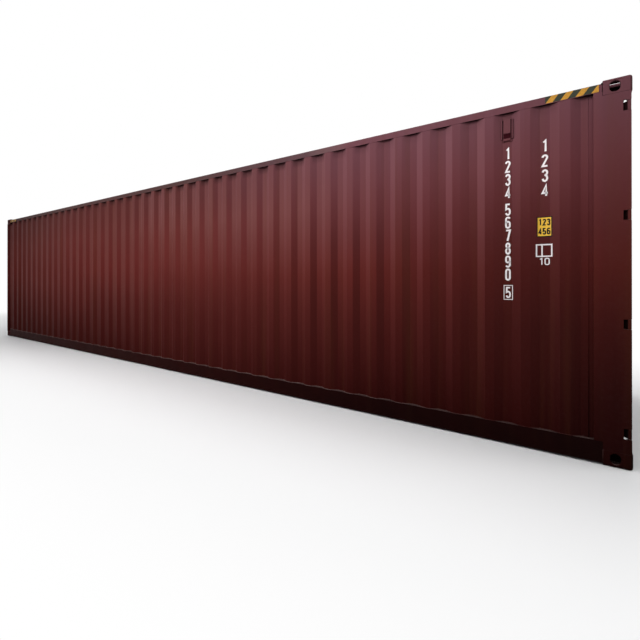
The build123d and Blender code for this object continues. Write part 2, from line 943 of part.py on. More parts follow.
write_castings()
write_pair(make_rear_post().part, "rear_post")
write_pair(make_front_post().part, "front_post")
write_pair(make_top_side_rail().part, "top_side_rail")
write_pair(make_bottom_side_rail().part, "bottom_side_rail")
write_pair(make_side_wall().part, "side_wall")
write_piece(make_front_wall().part, "front_wall")
write_piece(make_front_header().part, "front_header")
write_piece(make_front_sill().part, "front_sill")
write_piece(make_rear_header().part, "rear_header")
write_piece(make_rear_sill().part, "rear_sill")
write_piece(make_roof().part, "roof")
write_piece(make_header_plates().part, "header_plates")
write_piece(make_corner_plates().part, "corner_plates")
write_piece(make_floor().part, "floor")
write_piece(make_cross_members().part, "cross_members")
write_piece(make_outriggers().part, "outriggers")
write_piece(make_tunnel().part, "gooseneck_tunnel")
write_piece(make_tunnel_bolster().part, "tunnel_bolster")
write_piece(make_cam_keepers().part, "cam_keepers")
write_piece(make_hinge_pins().part, "hinge_pins")
write_piece(make_ventilators().part, "ventilators")
write_pair(make_door_frame().part, "door_frame")
write_pair(make_door_panel().part, "door_panel")
write_pair(make_door_gasket().part, "door_gasket")
write_pair(make_hinges().part, "hinges")
write_pair(make_lock_rods().part, "lock_rods")
write_pair(make_rod_brackets().part, "rod_brackets")
write_pair(make_door_handles().part, "door_handles")
write_pair(make_handle_catches().part, "handle_catches")
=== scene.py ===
"""Looks of the dry freight container: camera, studio, paint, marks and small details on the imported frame."""

import json
from math import cos, pi, radians, sin

import bmesh
import bpy
from mathutils import Matrix, Vector


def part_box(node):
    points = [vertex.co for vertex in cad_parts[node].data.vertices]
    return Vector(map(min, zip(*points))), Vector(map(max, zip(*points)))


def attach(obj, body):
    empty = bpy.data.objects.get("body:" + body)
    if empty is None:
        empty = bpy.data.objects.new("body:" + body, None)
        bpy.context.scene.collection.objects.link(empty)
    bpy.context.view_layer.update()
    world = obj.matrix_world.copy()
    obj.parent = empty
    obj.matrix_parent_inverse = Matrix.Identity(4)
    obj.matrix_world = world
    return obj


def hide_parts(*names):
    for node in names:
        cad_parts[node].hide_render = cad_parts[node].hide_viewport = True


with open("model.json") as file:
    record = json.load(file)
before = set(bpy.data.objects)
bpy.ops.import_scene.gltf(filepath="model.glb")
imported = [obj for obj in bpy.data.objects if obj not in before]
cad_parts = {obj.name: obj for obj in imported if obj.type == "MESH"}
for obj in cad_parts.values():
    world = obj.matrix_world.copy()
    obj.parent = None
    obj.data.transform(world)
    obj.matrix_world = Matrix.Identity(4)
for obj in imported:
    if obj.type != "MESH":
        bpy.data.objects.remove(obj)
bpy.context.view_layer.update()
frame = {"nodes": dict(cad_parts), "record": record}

scene = bpy.context.scene

# Camera, as the photograph was taken
CAMERA_AT = (5.7788, -4.8039, 1.3978)
CAMERA_TURN = 0.5951
CAMERA_PITCH = 0.0015
CAMERA_ROLL = -0.0006
FOCAL_LENGTH = 21.637
SENSOR = 36.0
SHIFT_Y = -0.0642

# Outermost faces of the container, in metres; the doors are at +X, the left side at -Y
HALF_LENGTH, HALF_WIDTH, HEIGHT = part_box("top_castings")[1]
LEFT = -HALF_WIDTH

# Corrugation of the side walls
PITCH = 0.278
CREST = 0.072
VALLEY = 0.070
DEPTH = 0.036
SLOPE = (PITCH - CREST - VALLEY) / 2
WALL_RECESS = 0.005
CRESTS = 42
LAST_CREST = HALF_LENGTH - 0.417
FIRST_CREST = LAST_CREST - (CRESTS - 1) * PITCH
VALLEY_Y = LEFT + WALL_RECESS + DEPTH

# Colours, linear
MAROON = (0.132, 0.0200, 0.0170)
MAROON_DEEP = (0.085, 0.0135, 0.0120)
# Chalky fade, with painted sheen in it, high up near the doors
CHALK_AND_SHEEN_MAROON = (0.150, 0.0600, 0.0750)
# Painted shade high up towards the front
FRONT_SHADE_MAROON = (0.080, 0.0230, 0.0220)
# Painted shade towards the foot of the walls
FOOT_SHADE_MAROON = (0.030, 0.0030, 0.0026)
# Pale dust, also laid as painted highlight on the top rail and the wall's foot weld
DUST_AND_HIGHLIGHT = (0.22, 0.15, 0.14)
# Painted sheen on the wall's slopes, high up and low down
SLOPE_SHEEN = (0.34, 0.150, 0.172)
LOW_SLOPE_SHEEN = (0.31, 0.070, 0.066)
# Painted reflection on the wall's crests and valleys
FLAT_REFLECTION = (0.30, 0.130, 0.115)
BROWN_DUST = (0.100, 0.036, 0.014)
RAIL_FILM = (0.044, 0.055, 0.055)
# Dark road film on the bottom rails; most other places lay it as painted shade
DARK_FILM_AND_SHADE = (0.0060, 0.0028, 0.0028)
BOARD_DARK = (0.21, 0.105, 0.05)
BOARD_LIGHT = (0.34, 0.19, 0.095)
BOARD_JOINT = (0.03, 0.018, 0.01)
BOARD_SCUFF = (0.12, 0.085, 0.06)
BITUMEN = (0.022, 0.021, 0.02)
RUBBER = (0.016, 0.016, 0.017)
PIN_STEEL = (0.17, 0.16, 0.155)
ZINC = (0.40, 0.41, 0.42)
ZINC_FIXING = (0.36, 0.365, 0.37)
SCREEN = (0.036, 0.005, 0.008)
WHITE = (0.93, 0.88, 0.88)
BLACK = (0.010, 0.010, 0.010)
YELLOW = (0.90, 0.54, 0.06)
OCHRE = (0.55, 0.265, 0.033)
DARK_GREEN = (0.036, 0.040, 0.026)


# ---- materials


class Finish:
    """A Principled material whose colour, roughness and bump come from procedural nodes."""

    def __init__(self, name, roughness=0.5, metallic=0.0, specular=0.5):
        self.material = bpy.data.materials.new(name)
        self.material.use_nodes = True
        self.nodes = self.material.node_tree.nodes
        self.links = self.material.node_tree.links
        self.shader = self.nodes["Principled BSDF"]
        self.shader.inputs["Roughness"].default_value = roughness
        self.shader.inputs["Metallic"].default_value = metallic
        self.shader.inputs["Specular IOR Level"].default_value = specular
        self.place = self.nodes.new("ShaderNodeTexCoord").outputs["Object"]

    def node(self, kind, inputs=(), **settings):
        """New node whose inputs are linked to sockets or set to values."""
        made = self.nodes.new(kind)
        for key, value in settings.items():
            setattr(made, key, value)
        for key, value in dict(inputs).items():
            if isinstance(value, bpy.types.NodeSocket):
                self.links.new(value, made.inputs[key])
            else:
                made.inputs[key].default_value = value
        return made

    def noise(self, scale, detail=3.0, roughness=0.55, stretch=(1, 1, 1)):
        """Cloudy value around a half; a larger stretch makes finer detail along that axis."""
        where = self.node("ShaderNodeMapping", {"Vector": self.place, "Scale": stretch})
        made = self.node(
            "ShaderNodeTexNoise",
            {"Vector": where.outputs[0], "Scale": scale, "Detail": detail, "Roughness": roughness},
        )
        return made.outputs["Fac"]

    def span(self, value, low, high, to_low=0.0, to_high=1.0):
        """Value between two limits, turned into a share between two others."""
        made = self.node(
            "ShaderNodeMapRange",
            {"Value": value, "From Min": low, "From Max": high, "To Min": to_low, "To Max": to_high},
        )
        return made.outputs[0]

    def patches(self, scale, detail=4, to_low=0.0, to_high=1.0):
        """Soft patches between two values."""
        return self.span(self.noise(scale, detail), 0.3, 0.7, to_low, to_high)

    def math(self, operation, a, b=0.0):
        return self.node("ShaderNodeMath", {0: a, 1: b}, operation=operation).outputs[0]

    def product(self, first, *others):
        for other in others:
            first = self.math("MULTIPLY", first, other)
        return first

    def mix(self, factor, a, b):
        """Colour between two colours, each a socket or three channels."""
        made = self.node("ShaderNodeMix", data_type="RGBA")
        for name, value in (("Factor_Float", factor), ("A_Color", a), ("B_Color", b)):
            socket = next(s for s in made.inputs if s.identifier == name)
            if isinstance(value, bpy.types.NodeSocket):
                self.links.new(value, socket)
            else:
                socket.default_value = value if name == "Factor_Float" else (*value, 1)
        return next(s for s in made.outputs if s.identifier == "Result_Color")

    def axis(self, letter):
        """Place along an axis, in metres."""
        return self.node("ShaderNodeSeparateXYZ", {0: self.place}).outputs[letter]

    def facing(self, letter):
        """How far the surface looks along an axis, from minus one to one."""
        normal = self.nodes.new("ShaderNodeNewGeometry").outputs["Normal"]
        return self.node("ShaderNodeSeparateXYZ", {0: normal}).outputs[letter]

    def colour(self, value):
        self.links.new(value, self.shader.inputs["Base Color"])

    def rough(self, value):
        self.links.new(value, self.shader.inputs["Roughness"])

    def bump(self, *layers):
        """Each layer is a height value and its depth in metres."""
        normal = None
        for height, depth in layers:
            made = self.node("ShaderNodeBump", {"Height": height, "Distance": depth, "Strength": 1.0})
            if normal:
                self.links.new(normal, made.inputs["Normal"])
            normal = made.outputs[0]
        self.links.new(normal, self.shader.inputs["Normal"])


class Paint(Finish):
    """Maroon chassis paint; its methods lay fading, dust, film, painted shade, painted sheen, painted
    reflection and painted highlights over the tone so far.

    Each laid colour takes factors, which are multiplied, and most of them fade in between
    two places, in metres along the container or above the ground.
    """

    SPECULAR = 0.016
    ROUGHNESS = (0.45, 0.58)

    def __init__(self, name):
        super().__init__(name, specular=self.SPECULAR)
        self.x, self.z = self.axis("X"), self.axis("Z")
        self.faces_doors, self.faces_up = self.facing("X"), self.facing("Z")
        self.clouds = self.patches(0.9)
        self.tone = self.mix(self.product(self.clouds, 0.3), MAROON, MAROON_DEEP)

    def lay(self, colour, *factors):
        """Another colour over the tone, as dense as the product of the factors."""
        self.tone = self.mix(self.product(*factors), self.tone, colour)

    def by_x(self, start, end, at_start=0.0, at_end=1.0):
        return self.span(self.x, start, end, at_start, at_end)

    def by_z(self, start, end, at_start=0.0, at_end=1.0):
        return self.span(self.z, start, end, at_start, at_end)

    def inset(self, value, half, start, end, to_start=0.0, to_end=1.0):
        """Share that changes between two depths behind both outer faces across an axis."""
        return self.span(self.math("ABSOLUTE", value), half - start, half - end, to_start, to_end)

    def fade(self):
        """Chalky fade with painted sheen near the doors and painted shade towards the front, both stronger
        higher up.
        """
        height = self.math("POWER", self.by_z(1.45, 2.85), 1.25)
        uneven = self.span(self.noise(1.6, 4), 0.2, 0.8, 0.85, 1)
        # Painted sheen over chalky fade near the doors, painted shade towards the front
        self.lay(self.mix(self.by_x(0.8, 3.8), FRONT_SHADE_MAROON, CHALK_AND_SHEEN_MAROON), height, uneven)

    def foot_shade_and_far_dust(self):
        """Painted shade that thickens towards the foot, thinner in two stretches, and dust far on."""
        less_shade_near = self.product(
            self.by_x(4.2, 1.8, 0, 0.28), self.by_x(-1.2, 0.4, 0.55, 1), self.by_z(1.05, 0.6)
        )
        less_shade_far = self.product(
            self.by_x(-1.7, -2.6), self.by_x(-5.35, -4.75), self.by_z(0.25, 1.2, 0, 0.55)
        )
        shade_share = self.math("SUBTRACT", 1, self.math("MAXIMUM", less_shade_near, less_shade_far))
        # Painted shade towards the foot, thinner in two stretches
        self.lay(FOOT_SHADE_MAROON, self.by_z(1.65, 0.15, 0, 0.94), self.by_x(3.4, 4.2, 0.9, 1), shade_share)
        far = self.by_x(-2.4, -4.2)
        self.lay(DUST_AND_HIGHLIGHT, far, self.by_x(-5.45, -5.05, 0.2, 1), self.by_z(0.5, 1.3, 0.4, 1), 0.045)

    def darken_near_doors(self):
        """Darker low down at the door end and on the post, and painted shade across the middle of the height
        near the doors.
        """
        self.lay(DARK_FILM_AND_SHADE, self.by_z(1.5, 0.5), self.by_x(5.3, 6.05, 0, 0.5))
        self.lay(DARK_FILM_AND_SHADE, self.by_x(5.86, 5.93, 0, 0.16))
        middle = self.product(self.by_z(2.35, 1.75), self.by_z(0.25, 1.0))
        near = self.product(self.by_x(3.9, 5.4), self.by_x(5.75, 5.9, 1, 0.5))
        # Painted shade across the middle of the height near the doors
        self.lay(DARK_FILM_AND_SHADE, near, self.span(middle, 0, 1, 0.08, 0.42))

    def shade_on_ends(self, most):
        """Painted shade on the faces that look to either end."""
        endways = self.math("ABSOLUTE", self.faces_doors)
        self.lay(DARK_FILM_AND_SHADE, self.span(endways, 0.15, 0.75, 0, most))

    def weather(self):
        """Rain streaks, brown runs and specks of dust."""
        streaks = self.span(self.noise(1.0, 4, stretch=(16, 16, 0.45)), 0.42, 0.72)
        runs = self.span(self.noise(1.0, 3, stretch=(9, 9, 0.3)), 0.5, 0.8)
        specks = self.span(self.noise(38, 5, 0.7), 0.45, 0.75)
        self.lay(MAROON_DEEP, streaks, 0.12)
        self.lay(BROWN_DUST, runs, 0.22)
        self.lay(DUST_AND_HIGHLIGHT, specks, 0.02)

    def road_film_and_shade(self, most):
        """Patchy darkening, thinner towards the front: road film on the bottom rails, painted shade in the
        groove of the welds round the top castings.
        """
        laid = self.patches(5, 4, most - 0.12, most)
        self.lay(DARK_FILM_AND_SHADE, self.math("SUBTRACT", laid, self.by_x(3.5, -1.0, 0, 0.12)))

    def sheen_on_front_slopes(self):
        """Painted sheen on the waves' slopes that look to the front, and high up on all faces for a stretch.
        """
        dust = self.mix(self.by_z(1.2, 2.5), LOW_SLOPE_SHEEN, SLOPE_SHEEN)
        slopes = self.span(self.faces_doors, -0.25, -0.42)
        along = self.product(self.by_x(0.6, 5.0, 0, 0.24), self.by_x(5.02, 5.30, 1, 0.4))
        # Painted sheen on the slopes that look to the front
        self.lay(dust, slopes, along, self.by_z(0.3, 2.0, 0.05, 1))
        stretch = self.product(self.by_x(-0.6, 0.2), self.by_x(1.9, 0.9))
        self.lay(dust, stretch, self.by_z(2.05, 2.5), self.span(self.faces_doors, 0.42, -0.42, 0.03, 0.15))

    def sheen_and_shade_on_door_slopes(self):
        """Painted sheen over a stretch, then painted shade low down and painted shade near the doors, on the
        slopes that look to the doors.
        """
        slopes = self.span(self.faces_doors, 0.25, 0.42)
        stretch = self.product(self.by_x(2.9, 1.7), self.by_x(-0.8, 0.2))
        height = self.product(self.by_z(0.6, 1.8, 0.2, 1), self.by_z(2.55, 2.15))
        # Painted sheen on the door-facing slopes over a stretch
        self.lay(LOW_SLOPE_SHEEN, slopes, self.span(stretch, 0, 1, 0.05, 0.13), height)
        low_down = self.product(self.by_z(2.2, 1.6), self.by_z(0.2, 0.9))
        # Painted shade on the door-facing slopes
        self.lay(DARK_FILM_AND_SHADE, slopes, low_down, self.by_x(-0.5, -2.5, 0, 0.12))
        along = self.product(self.by_x(2.2, 3.3), self.by_x(4.8, 4.0, 0, 0.30))
        self.lay(DARK_FILM_AND_SHADE, slopes, along, self.by_z(2.45, 1.75), self.by_z(0.3, 1.2))

    def reflection_on_flats(self):
        """Painted reflection on the waves' crests and valleys, all over them in the far half, high up in the
        near.
        """
        flats = self.span(self.faces_doors, 0.42, 0.25)
        along = self.product(self.by_x(4.3, 3.0), self.by_x(0.5, -1.5, 0.20, 0.12))
        height = self.product(self.by_z(0.2, 1.3), self.by_z(2.85, 2.25, 0.3, 1))
        reach = self.math("MAXIMUM", self.by_x(1.0, -1.0), self.by_z(1.4, 2.2, 0.2, 1))
        # Painted reflection on the crests and valleys
        self.lay(FLAT_REFLECTION, flats, along, height, reach)

    def shade_under_rail(self):
        """Painted shade on the wall's valleys just under the top rail."""
        valleys = self.inset(self.axis("Y"), HALF_WIDTH, 0.010, 0.022)
        self.lay(DARK_FILM_AND_SHADE, valleys, self.by_z(2.72, 2.80, 0, 0.6), self.by_x(2.8, 4.2, 1, 0.25))

    def film_highlight_and_shade_on_top_rail(self):
        """Grey film far on, a pale patch of painted highlight, and painted shade on the undersides."""
        self.lay(RAIL_FILM, self.by_x(3.7, 3.2, 0, 0.35))
        # Painted highlight: a pale patch along the rail
        self.lay(DUST_AND_HIGHLIGHT, self.by_x(3.15, 3.30), self.by_x(3.75, 3.60, 0, 0.2))
        # Painted shade on the faces that look down
        self.lay(DARK_FILM_AND_SHADE, self.span(self.faces_up, -0.5, -0.9, 0, 0.9))

    def highlight_at_foot(self, most):
        # Painted highlight along the wall's foot weld, towards the doors
        self.lay(DUST_AND_HIGHLIGHT, self.by_z(0.30, 0.20), self.by_x(5.2, 3.4, 0, most))

    def dust_patches(self, most):
        self.lay(DUST_AND_HIGHLIGHT, self.patches(8, 4, most / 2, most))

    def shade_in_gaps(self):
        """Painted shade behind the post's side face, where the hinges turn in their notches."""
        y = self.axis("Y")
        behind_face = self.inset(y, HALF_WIDTH, 0.004, 0.009, 0, 0.9)
        self.lay(DARK_FILM_AND_SHADE, behind_face, self.inset(y, HALF_WIDTH, 0.055, 0.045))

    def dust_ledges(self):
        self.lay(DUST_AND_HIGHLIGHT, self.span(self.faces_up, 0.6, 0.95), self.span(self.clouds, 0, 1, 0.15, 0.4))

    def shade_in_hollow(self):
        """Painted shade inside the corner castings."""
        up = self.math("SUBTRACT", self.z, HEIGHT / 2)
        depths = (
            self.inset(self.x, HALF_LENGTH, 0.010, 0.018),
            self.inset(self.axis("Y"), HALF_WIDTH, 0.010, 0.018),
            self.inset(up, HEIGHT / 2, 0.016, 0.024),
            self.inset(up, HEIGHT / 2, 0.117, 0.110),
        )
        self.lay(DARK_FILM_AND_SHADE, *depths, 0.85)


def paint(
    name, ends=0, film=0, foot=0, dust=0, wall=False, eaves=False, recess=False, cast=False, bead=False
):
    """Maroon chassis paint with the dirt, the painted shade and light, and the grain that a piece's place and
    make bring.
    """
    coat = Paint(name)
    coat.fade()
    coat.foot_shade_and_far_dust()
    coat.darken_near_doors()
    if ends:
        coat.shade_on_ends(ends)
    coat.weather()
    if film:
        coat.road_film_and_shade(film)
    if wall:
        coat.sheen_on_front_slopes()
        coat.sheen_and_shade_on_door_slopes()
        coat.reflection_on_flats()
        coat.shade_under_rail()
    if eaves:
        coat.film_highlight_and_shade_on_top_rail()
    if foot:
        coat.highlight_at_foot(foot)
    if dust:
        coat.dust_patches(dust)
    if recess:
        coat.shade_in_gaps()
    coat.dust_ledges()
    if cast:
        coat.shade_in_hollow()
    coat.colour(coat.tone)
    coat.rough(coat.patches(7, 4, *Paint.ROUGHNESS))
    layers = [(coat.noise(2.2, 2), 0.004), (coat.noise(420, 2), 0.0002)]
    if bead:
        layers.append((coat.noise(120, 2), 0.0015))
    if cast:
        layers.append((coat.noise(90, 4), 0.0010))
    coat.bump(*layers)
    return coat.material


def plain(name, tone, roughness=0.5, metallic=0.0, spread=0.25, scale=30, depth=0.0002, specular=0.5):
    """One colour, broken up by a mottle, with matching roughness and a fine bump."""
    finish = Finish(name, roughness, metallic, specular)
    dark = tuple(channel * (1 - spread) for channel in tone)
    finish.colour(finish.mix(finish.patches(scale), dark, tone))
    finish.rough(finish.patches(scale / 3, 3, roughness - 0.08, roughness + 0.08))
    finish.bump((finish.noise(scale * 8, 2), depth))
    return finish.material


def plywood():
    """Varnished boards across the floor, with darker joints and wood grain along them."""
    finish = Finish("plywood_floor")
    grain = finish.span(finish.noise(2.0, 6, 0.65, stretch=(1, 28, 28)), 0.3, 0.7)
    boards = finish.node(
        "ShaderNodeTexBrick",
        {"Vector": finish.place, "Scale": 1.0, "Mortar Size": 0.003, "Brick Width": 2.4, "Row Height": 1.16},
    )
    joints = boards.outputs["Fac"]
    scuffs = finish.span(finish.noise(3.5, 5, 0.7), 0.55, 0.75)
    tone = finish.mix(joints, finish.mix(grain, BOARD_DARK, BOARD_LIGHT), BOARD_JOINT)
    finish.colour(finish.mix(finish.product(scuffs, 0.5), tone, BOARD_SCUFF))
    finish.rough(finish.patches(6, 4, 0.38, 0.62))
    finish.bump((joints, -0.002), (grain, 0.0004))
    return finish.material


materials = {
    "paint": paint("maroon_paint"),
    # Painted shade on the castings' end faces and inside their hollows
    "casting_paint": paint("maroon_casting", ends=0.62, cast=True),
    "plywood": plywood(),
    "underframe_coating": plain("bitumen_coating", BITUMEN, 0.7, spread=0.4, scale=12, depth=0.0008),
    "bare_steel": plain("stainless_pin", PIN_STEEL, 0.5, 0.6),
    "seal_rubber": plain("seal_rubber", RUBBER, 0.65, spread=0.3, scale=60),
    "galvanised": plain("zinc_coating", ZINC, 0.45, 0.8, spread=0.35, scale=55),
    # Painted shade on the covers' faces that look to either end
    "vent_cover": paint("vent_paint", ends=0.7),
}
# Painted shade in the hinge notches behind the post's side face
recess_shade_paint = paint("maroon_recess_shade", recess=True)
# Paint of the nodes whose place gives them dirt and painted shade and light of their own, by name without the
# side
special = {
    "bottom_side_rail": paint("maroon_road_film", film=0.8),
    "top_side_rail": paint("maroon_eaves", eaves=True),
    "side_wall": paint("maroon_wall", wall=True),
    "hinges": recess_shade_paint,
}
slots = {row["node"]: row["material_slot"] for row in frame["record"]["subparts"]}
for name, obj in frame["nodes"].items():
    obj.data.materials.clear()
    obj.data.materials.append(special.get(name.rsplit("_", 1)[0], materials[slots[name]]))


# ---- building helpers

FOUR_CORNERS = ((1, 1), (1, -1), (-1, 1), (-1, -1))


def mesh_from(name, build):
    """Mesh filled by a function that gets a bmesh."""
    mesh = bpy.data.meshes.new(name)
    work = bmesh.new()
    build(work)
    work.to_mesh(mesh)
    work.free()
    return mesh


def mirrored(mesh, x=1, y=1, z=1, about_z=0.0):
    """Mirror image of a mesh across the middle planes and, with z at -1, across a level."""
    copy = mesh.copy()
    to_level, back = (Matrix.Translation((0, 0, way * about_z)) for way in (-1, 1))
    copy.transform(back @ Matrix.Diagonal((x, y, z, 1)) @ to_level)
    if x * y * z < 0:
        copy.flip_normals()
    return copy


def joined(name, meshes):
    """One mesh from several, which are used up."""
    work = bmesh.new()
    for mesh in meshes:
        work.from_mesh(mesh)
    made = bpy.data.meshes.new(name)
    work.to_mesh(made)
    work.free()
    for mesh in meshes:
        bpy.data.meshes.remove(mesh)
    return made


def new_piece(name, shape, material, body="box"):
    """Piece riding on a body, with its material; its shape is a mesh or fills one."""
    mesh = mesh_from(name, shape) if callable(shape) else shape
    obj = bpy.data.objects.new(name, mesh)
    scene.collection.objects.link(obj)
    mesh.materials.clear()
    mesh.materials.append(material)
    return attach(obj, body)


def new_pair(stem, build, material, on_doors=False):
    """Piece built on the left side or the left leaf, and its mirror image on the right."""
    mesh = mesh_from(stem, build)
    for side, shape in (("right", mirrored(mesh, y=-1)), ("left", mesh)):
        new_piece(f"{stem}_{side}", shape, material, f"{side}_door" if on_doors else "box")


def object_from(build, name="shape"):
    """Loose object for modifiers, from a function that fills a bmesh."""
    obj = bpy.data.objects.new(name, mesh_from(name, build))
    scene.collection.objects.link(obj)
    return obj


def applied(obj, *helpers):
    """Mesh of an object with its modifiers applied; the object and its helpers go."""
    bpy.context.view_layer.update()
    mesh = bpy.data.meshes.new_from_object(obj.evaluated_get(bpy.context.evaluated_depsgraph_get()))
    for used in (obj, *helpers):
        bpy.data.objects.remove(used)
    return mesh


# ---- shapes


def spaced(start, end, count):
    return [start + (end - start) * index / (count - 1) for index in range(count)]


def circle(radius, sides=12):
    angles = (2 * pi * step / sides for step in range(sides))
    return [(radius * cos(angle), radius * sin(angle)) for angle in angles]


def stadium(width, height, segments=12):
    """Points of a slot with round ends, along its longer way."""
    radius = min(width, height) / 2
    reach_u, reach_v = max(width / 2 - radius, 0), max(height / 2 - radius, 0)
    points = []
    for index in range(4 * segments):
        angle = (index + 0.5) * pi / (2 * segments)
        u, v = cos(angle), sin(angle)
        shift_u, shift_v = reach_u if u > 0 else -reach_u, reach_v if v > 0 else -reach_v
        points.append((u * radius + shift_u, v * radius + shift_v))
    return points


def add_box(work, low, high, radius=0.0, segments=2, edges=None):
    """Box between two corners, with its edges, or those that pass the test, rounded."""
    low, high = Vector(low), Vector(high)
    matrix = Matrix.Translation((low + high) / 2) @ Matrix.Diagonal((*(high - low), 1))
    made = bmesh.ops.create_cube(work, size=1, matrix=matrix)
    if radius:
        chosen = {edge for vert in made["verts"] for edge in vert.link_edges}
        chosen = [edge for edge in chosen if edges is None or edges(*(v.co for v in edge.verts))]
        bmesh.ops.bevel(work, geom=chosen, offset=radius, segments=segments, profile=0.5, affect="EDGES")


# Ways of u, v and the depth of a prism along each axis
PRISM_WAYS = {
    "X": ((0, 1, 0), (0, 0, 1), (1, 0, 0)),
    "Y": ((1, 0, 0), (0, 0, 1), (0, -1, 0)),
    "Z": ((1, 0, 0), (0, 1, 0), (0, 0, 1)),
}


def add_prism(work, centre, axis, outline, depth):
    """Outline of (u, v) points pushed along an axis letter, centred on a place."""
    across, up, along = (Vector(way) for way in PRISM_WAYS[axis])
    centre = Vector(centre)
    rings = [
        [work.verts.new(centre + across * u + up * v + along * shift) for u, v in outline]
        for shift in (-depth / 2, depth / 2)
    ]
    count = len(outline)
    for i in range(count):
        j = (i + 1) % count
        work.faces.new((rings[0][i], rings[0][j], rings[1][j], rings[1][i]))
    work.faces.new(rings[0][::-1])
    work.faces.new(rings[1])


def add_bead(work, path, radius, sides=6):
    """Round bead along a path of points."""
    path = [Vector(point) for point in path]
    rings = []
    for index, point in enumerate(path):
        before, after = path[max(index - 1, 0)], path[min(index + 1, len(path) - 1)]
        along = (after - before).normalized()
        side = along.orthogonal() if abs(along.z) > 0.9 else along.cross(Vector((0, 0, 1)))
        side.normalize()
        up = side.cross(along)
        rings.append([
            work.verts.new(point + radius * (cos(angle) * side + sin(angle) * up))
            for angle in (2 * pi * step / sides for step in range(sides))
        ])
    for one, two in zip(rings, rings[1:]):
        for i in range(sides):
            j = (i + 1) % sides
            face = work.faces.new((one[i], one[j], two[j], two[i]))
            face.smooth = True
    work.faces.new(rings[0][::-1])
    work.faces.new(rings[-1])


# ---- the side wall's face


def wall_face(x):
    """Outer face of the left wall's corrugated sheet at x."""
    nearest = LAST_CREST - round((LAST_CREST - x) / PITCH) * PITCH
    from_crest = abs(x - min(max(nearest, FIRST_CREST), LAST_CREST))
    fall = min(max((from_crest - CREST / 2) / SLOPE, 0), 1)
    return LEFT + WALL_RECESS + DEPTH * fall


def bends_between(x_low, x_high):
    """The places where the sheet bends between two values of x."""
    bends = []
    for index in range(CRESTS):
        crest = FIRST_CREST + index * PITCH
        for offset in (-CREST / 2 - SLOPE, -CREST / 2, CREST / 2, CREST / 2 + SLOPE):
            if x_low < crest + offset < x_high:
                bends.append(crest + offset)
    return [x_low, *bends, x_high]


# ---- corner castings

CASTING = (0.178, 0.162, 0.118)
OUTER_WALL, OUTER_PLATE, INNER_WALL = 0.0155, 0.0275, 0.011
APERTURE_X, APERTURE_Y, SIDE_HOLE_Z = HALF_LENGTH - 0.1035, LEFT + 0.0895, HEIGHT - 0.063
SIDE_SLOT, SIDE_CUT = (0.0635, 0.0795), 0.05
# Middle, axis, width and height, and depth of each cut
APERTURES = (
    ((APERTURE_X, APERTURE_Y, HEIGHT), "Z", (0.1255, 0.0645), 0.07),
    ((APERTURE_X, LEFT, SIDE_HOLE_Z), "Y", SIDE_SLOT, SIDE_CUT),
    ((HALF_LENGTH, APERTURE_Y, SIDE_HOLE_Z), "X", SIDE_SLOT, SIDE_CUT),
)
CORNER_ROUND, EDGE_ROUND = 0.020, 0.0060
SHARP = radians(40)
INNER_END = HALF_LENGTH - CASTING[0]
CASTING_INNER_Y = LEFT + CASTING[1]
CASTING_FOOT = HEIGHT - CASTING[2]


def casting_block(work):
    """Block of the top casting at the rear left, its outermost edges rounded."""
    def outermost(a, b):
        corner = Vector((HALF_LENGTH, LEFT, HEIGHT))
        return (a - corner).length < 1e-6 or (b - corner).length < 1e-6

    low = (INNER_END, LEFT, CASTING_FOOT)
    high = (HALF_LENGTH, CASTING_INNER_Y, HEIGHT)
    add_box(work, low, high, CORNER_ROUND, 5, outermost)


def casting_hollow(work):
    low = (INNER_END + INNER_WALL, LEFT + OUTER_WALL, CASTING_FOOT + INNER_WALL)
    high = (HALF_LENGTH - OUTER_WALL, CASTING_INNER_Y - INNER_WALL, HEIGHT - OUTER_PLATE)
    add_box(work, low, high)


def corner_casting():
    """Hollow cast fitting with three round-ended apertures and softened edges."""
    casting = object_from(casting_block)
    cutters = [object_from(casting_hollow)]
    for middle, axis, size, depth in APERTURES:
        cutters.append(object_from(lambda work: add_prism(work, middle, axis, stadium(*size), depth)))
    for cutter in cutters:
        cut = casting.modifiers.new("cut", "BOOLEAN")
        cut.object = cutter
        cut.operation = "DIFFERENCE"
        cut.solver = "EXACT"
    soften = casting.modifiers.new("soften", "BEVEL")
    soften.width = EDGE_ROUND
    soften.segments = 3
    soften.use_clamp_overlap = False
    soften.limit_method = "ANGLE"
    soften.angle_limit = SHARP
    soften.harden_normals = True
    for polygon in casting.data.polygons:
        polygon.use_smooth = True
    return applied(casting, *cutters)


casting_mesh = corner_casting()
for stem, way in (("top", 1), ("bottom", -1)):
    fittings_mesh = joined(
        f"{stem}_cast_fittings", [mirrored(casting_mesh, x, y, way, HEIGHT / 2) for x, y in FOUR_CORNERS]
    )
    fittings = new_piece(f"{stem}_cast_fittings", fittings_mesh, materials["casting_paint"])
    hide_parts(f"{stem}_castings")

# ---- welds

# The wall welds take a painted highlight at the wall's foot
bead_paint = paint("maroon_bead", foot=0.80, bead=True)
# Painted shade in the groove along the welds round the top castings
seam_shade_paint = paint("maroon_seam_shade", film=0.93, bead=True)
dusty_paint = paint("maroon_dusty_bead", dust=0.12, bead=True)
rail_low, rail_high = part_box("top_side_rail_left")
bottom_rail_low, bottom_rail_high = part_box("bottom_side_rail_left")
post_low, post_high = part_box("rear_post_left")
wall_low, wall_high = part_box("side_wall_left")
header_end_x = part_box("rear_header")[1].x
WELD_Y = LEFT + 0.0025
WELD_DEPTH = 0.046
ROOF_WELD_Y = LEFT + 0.014
# Radii of the beads
SIDE_BEAD, POST_BEAD, RAIL_BEAD, HEADER_BEAD = 0.0024, 0.0030, 0.0032, 0.0035
RAIL_TOP_BEAD, LEDGE_BEAD = 0.0100, 0.0022
WALL_BEAD, FOOT_BEAD, LEAF_BEAD = 0.0030, 0.0035, 0.0028
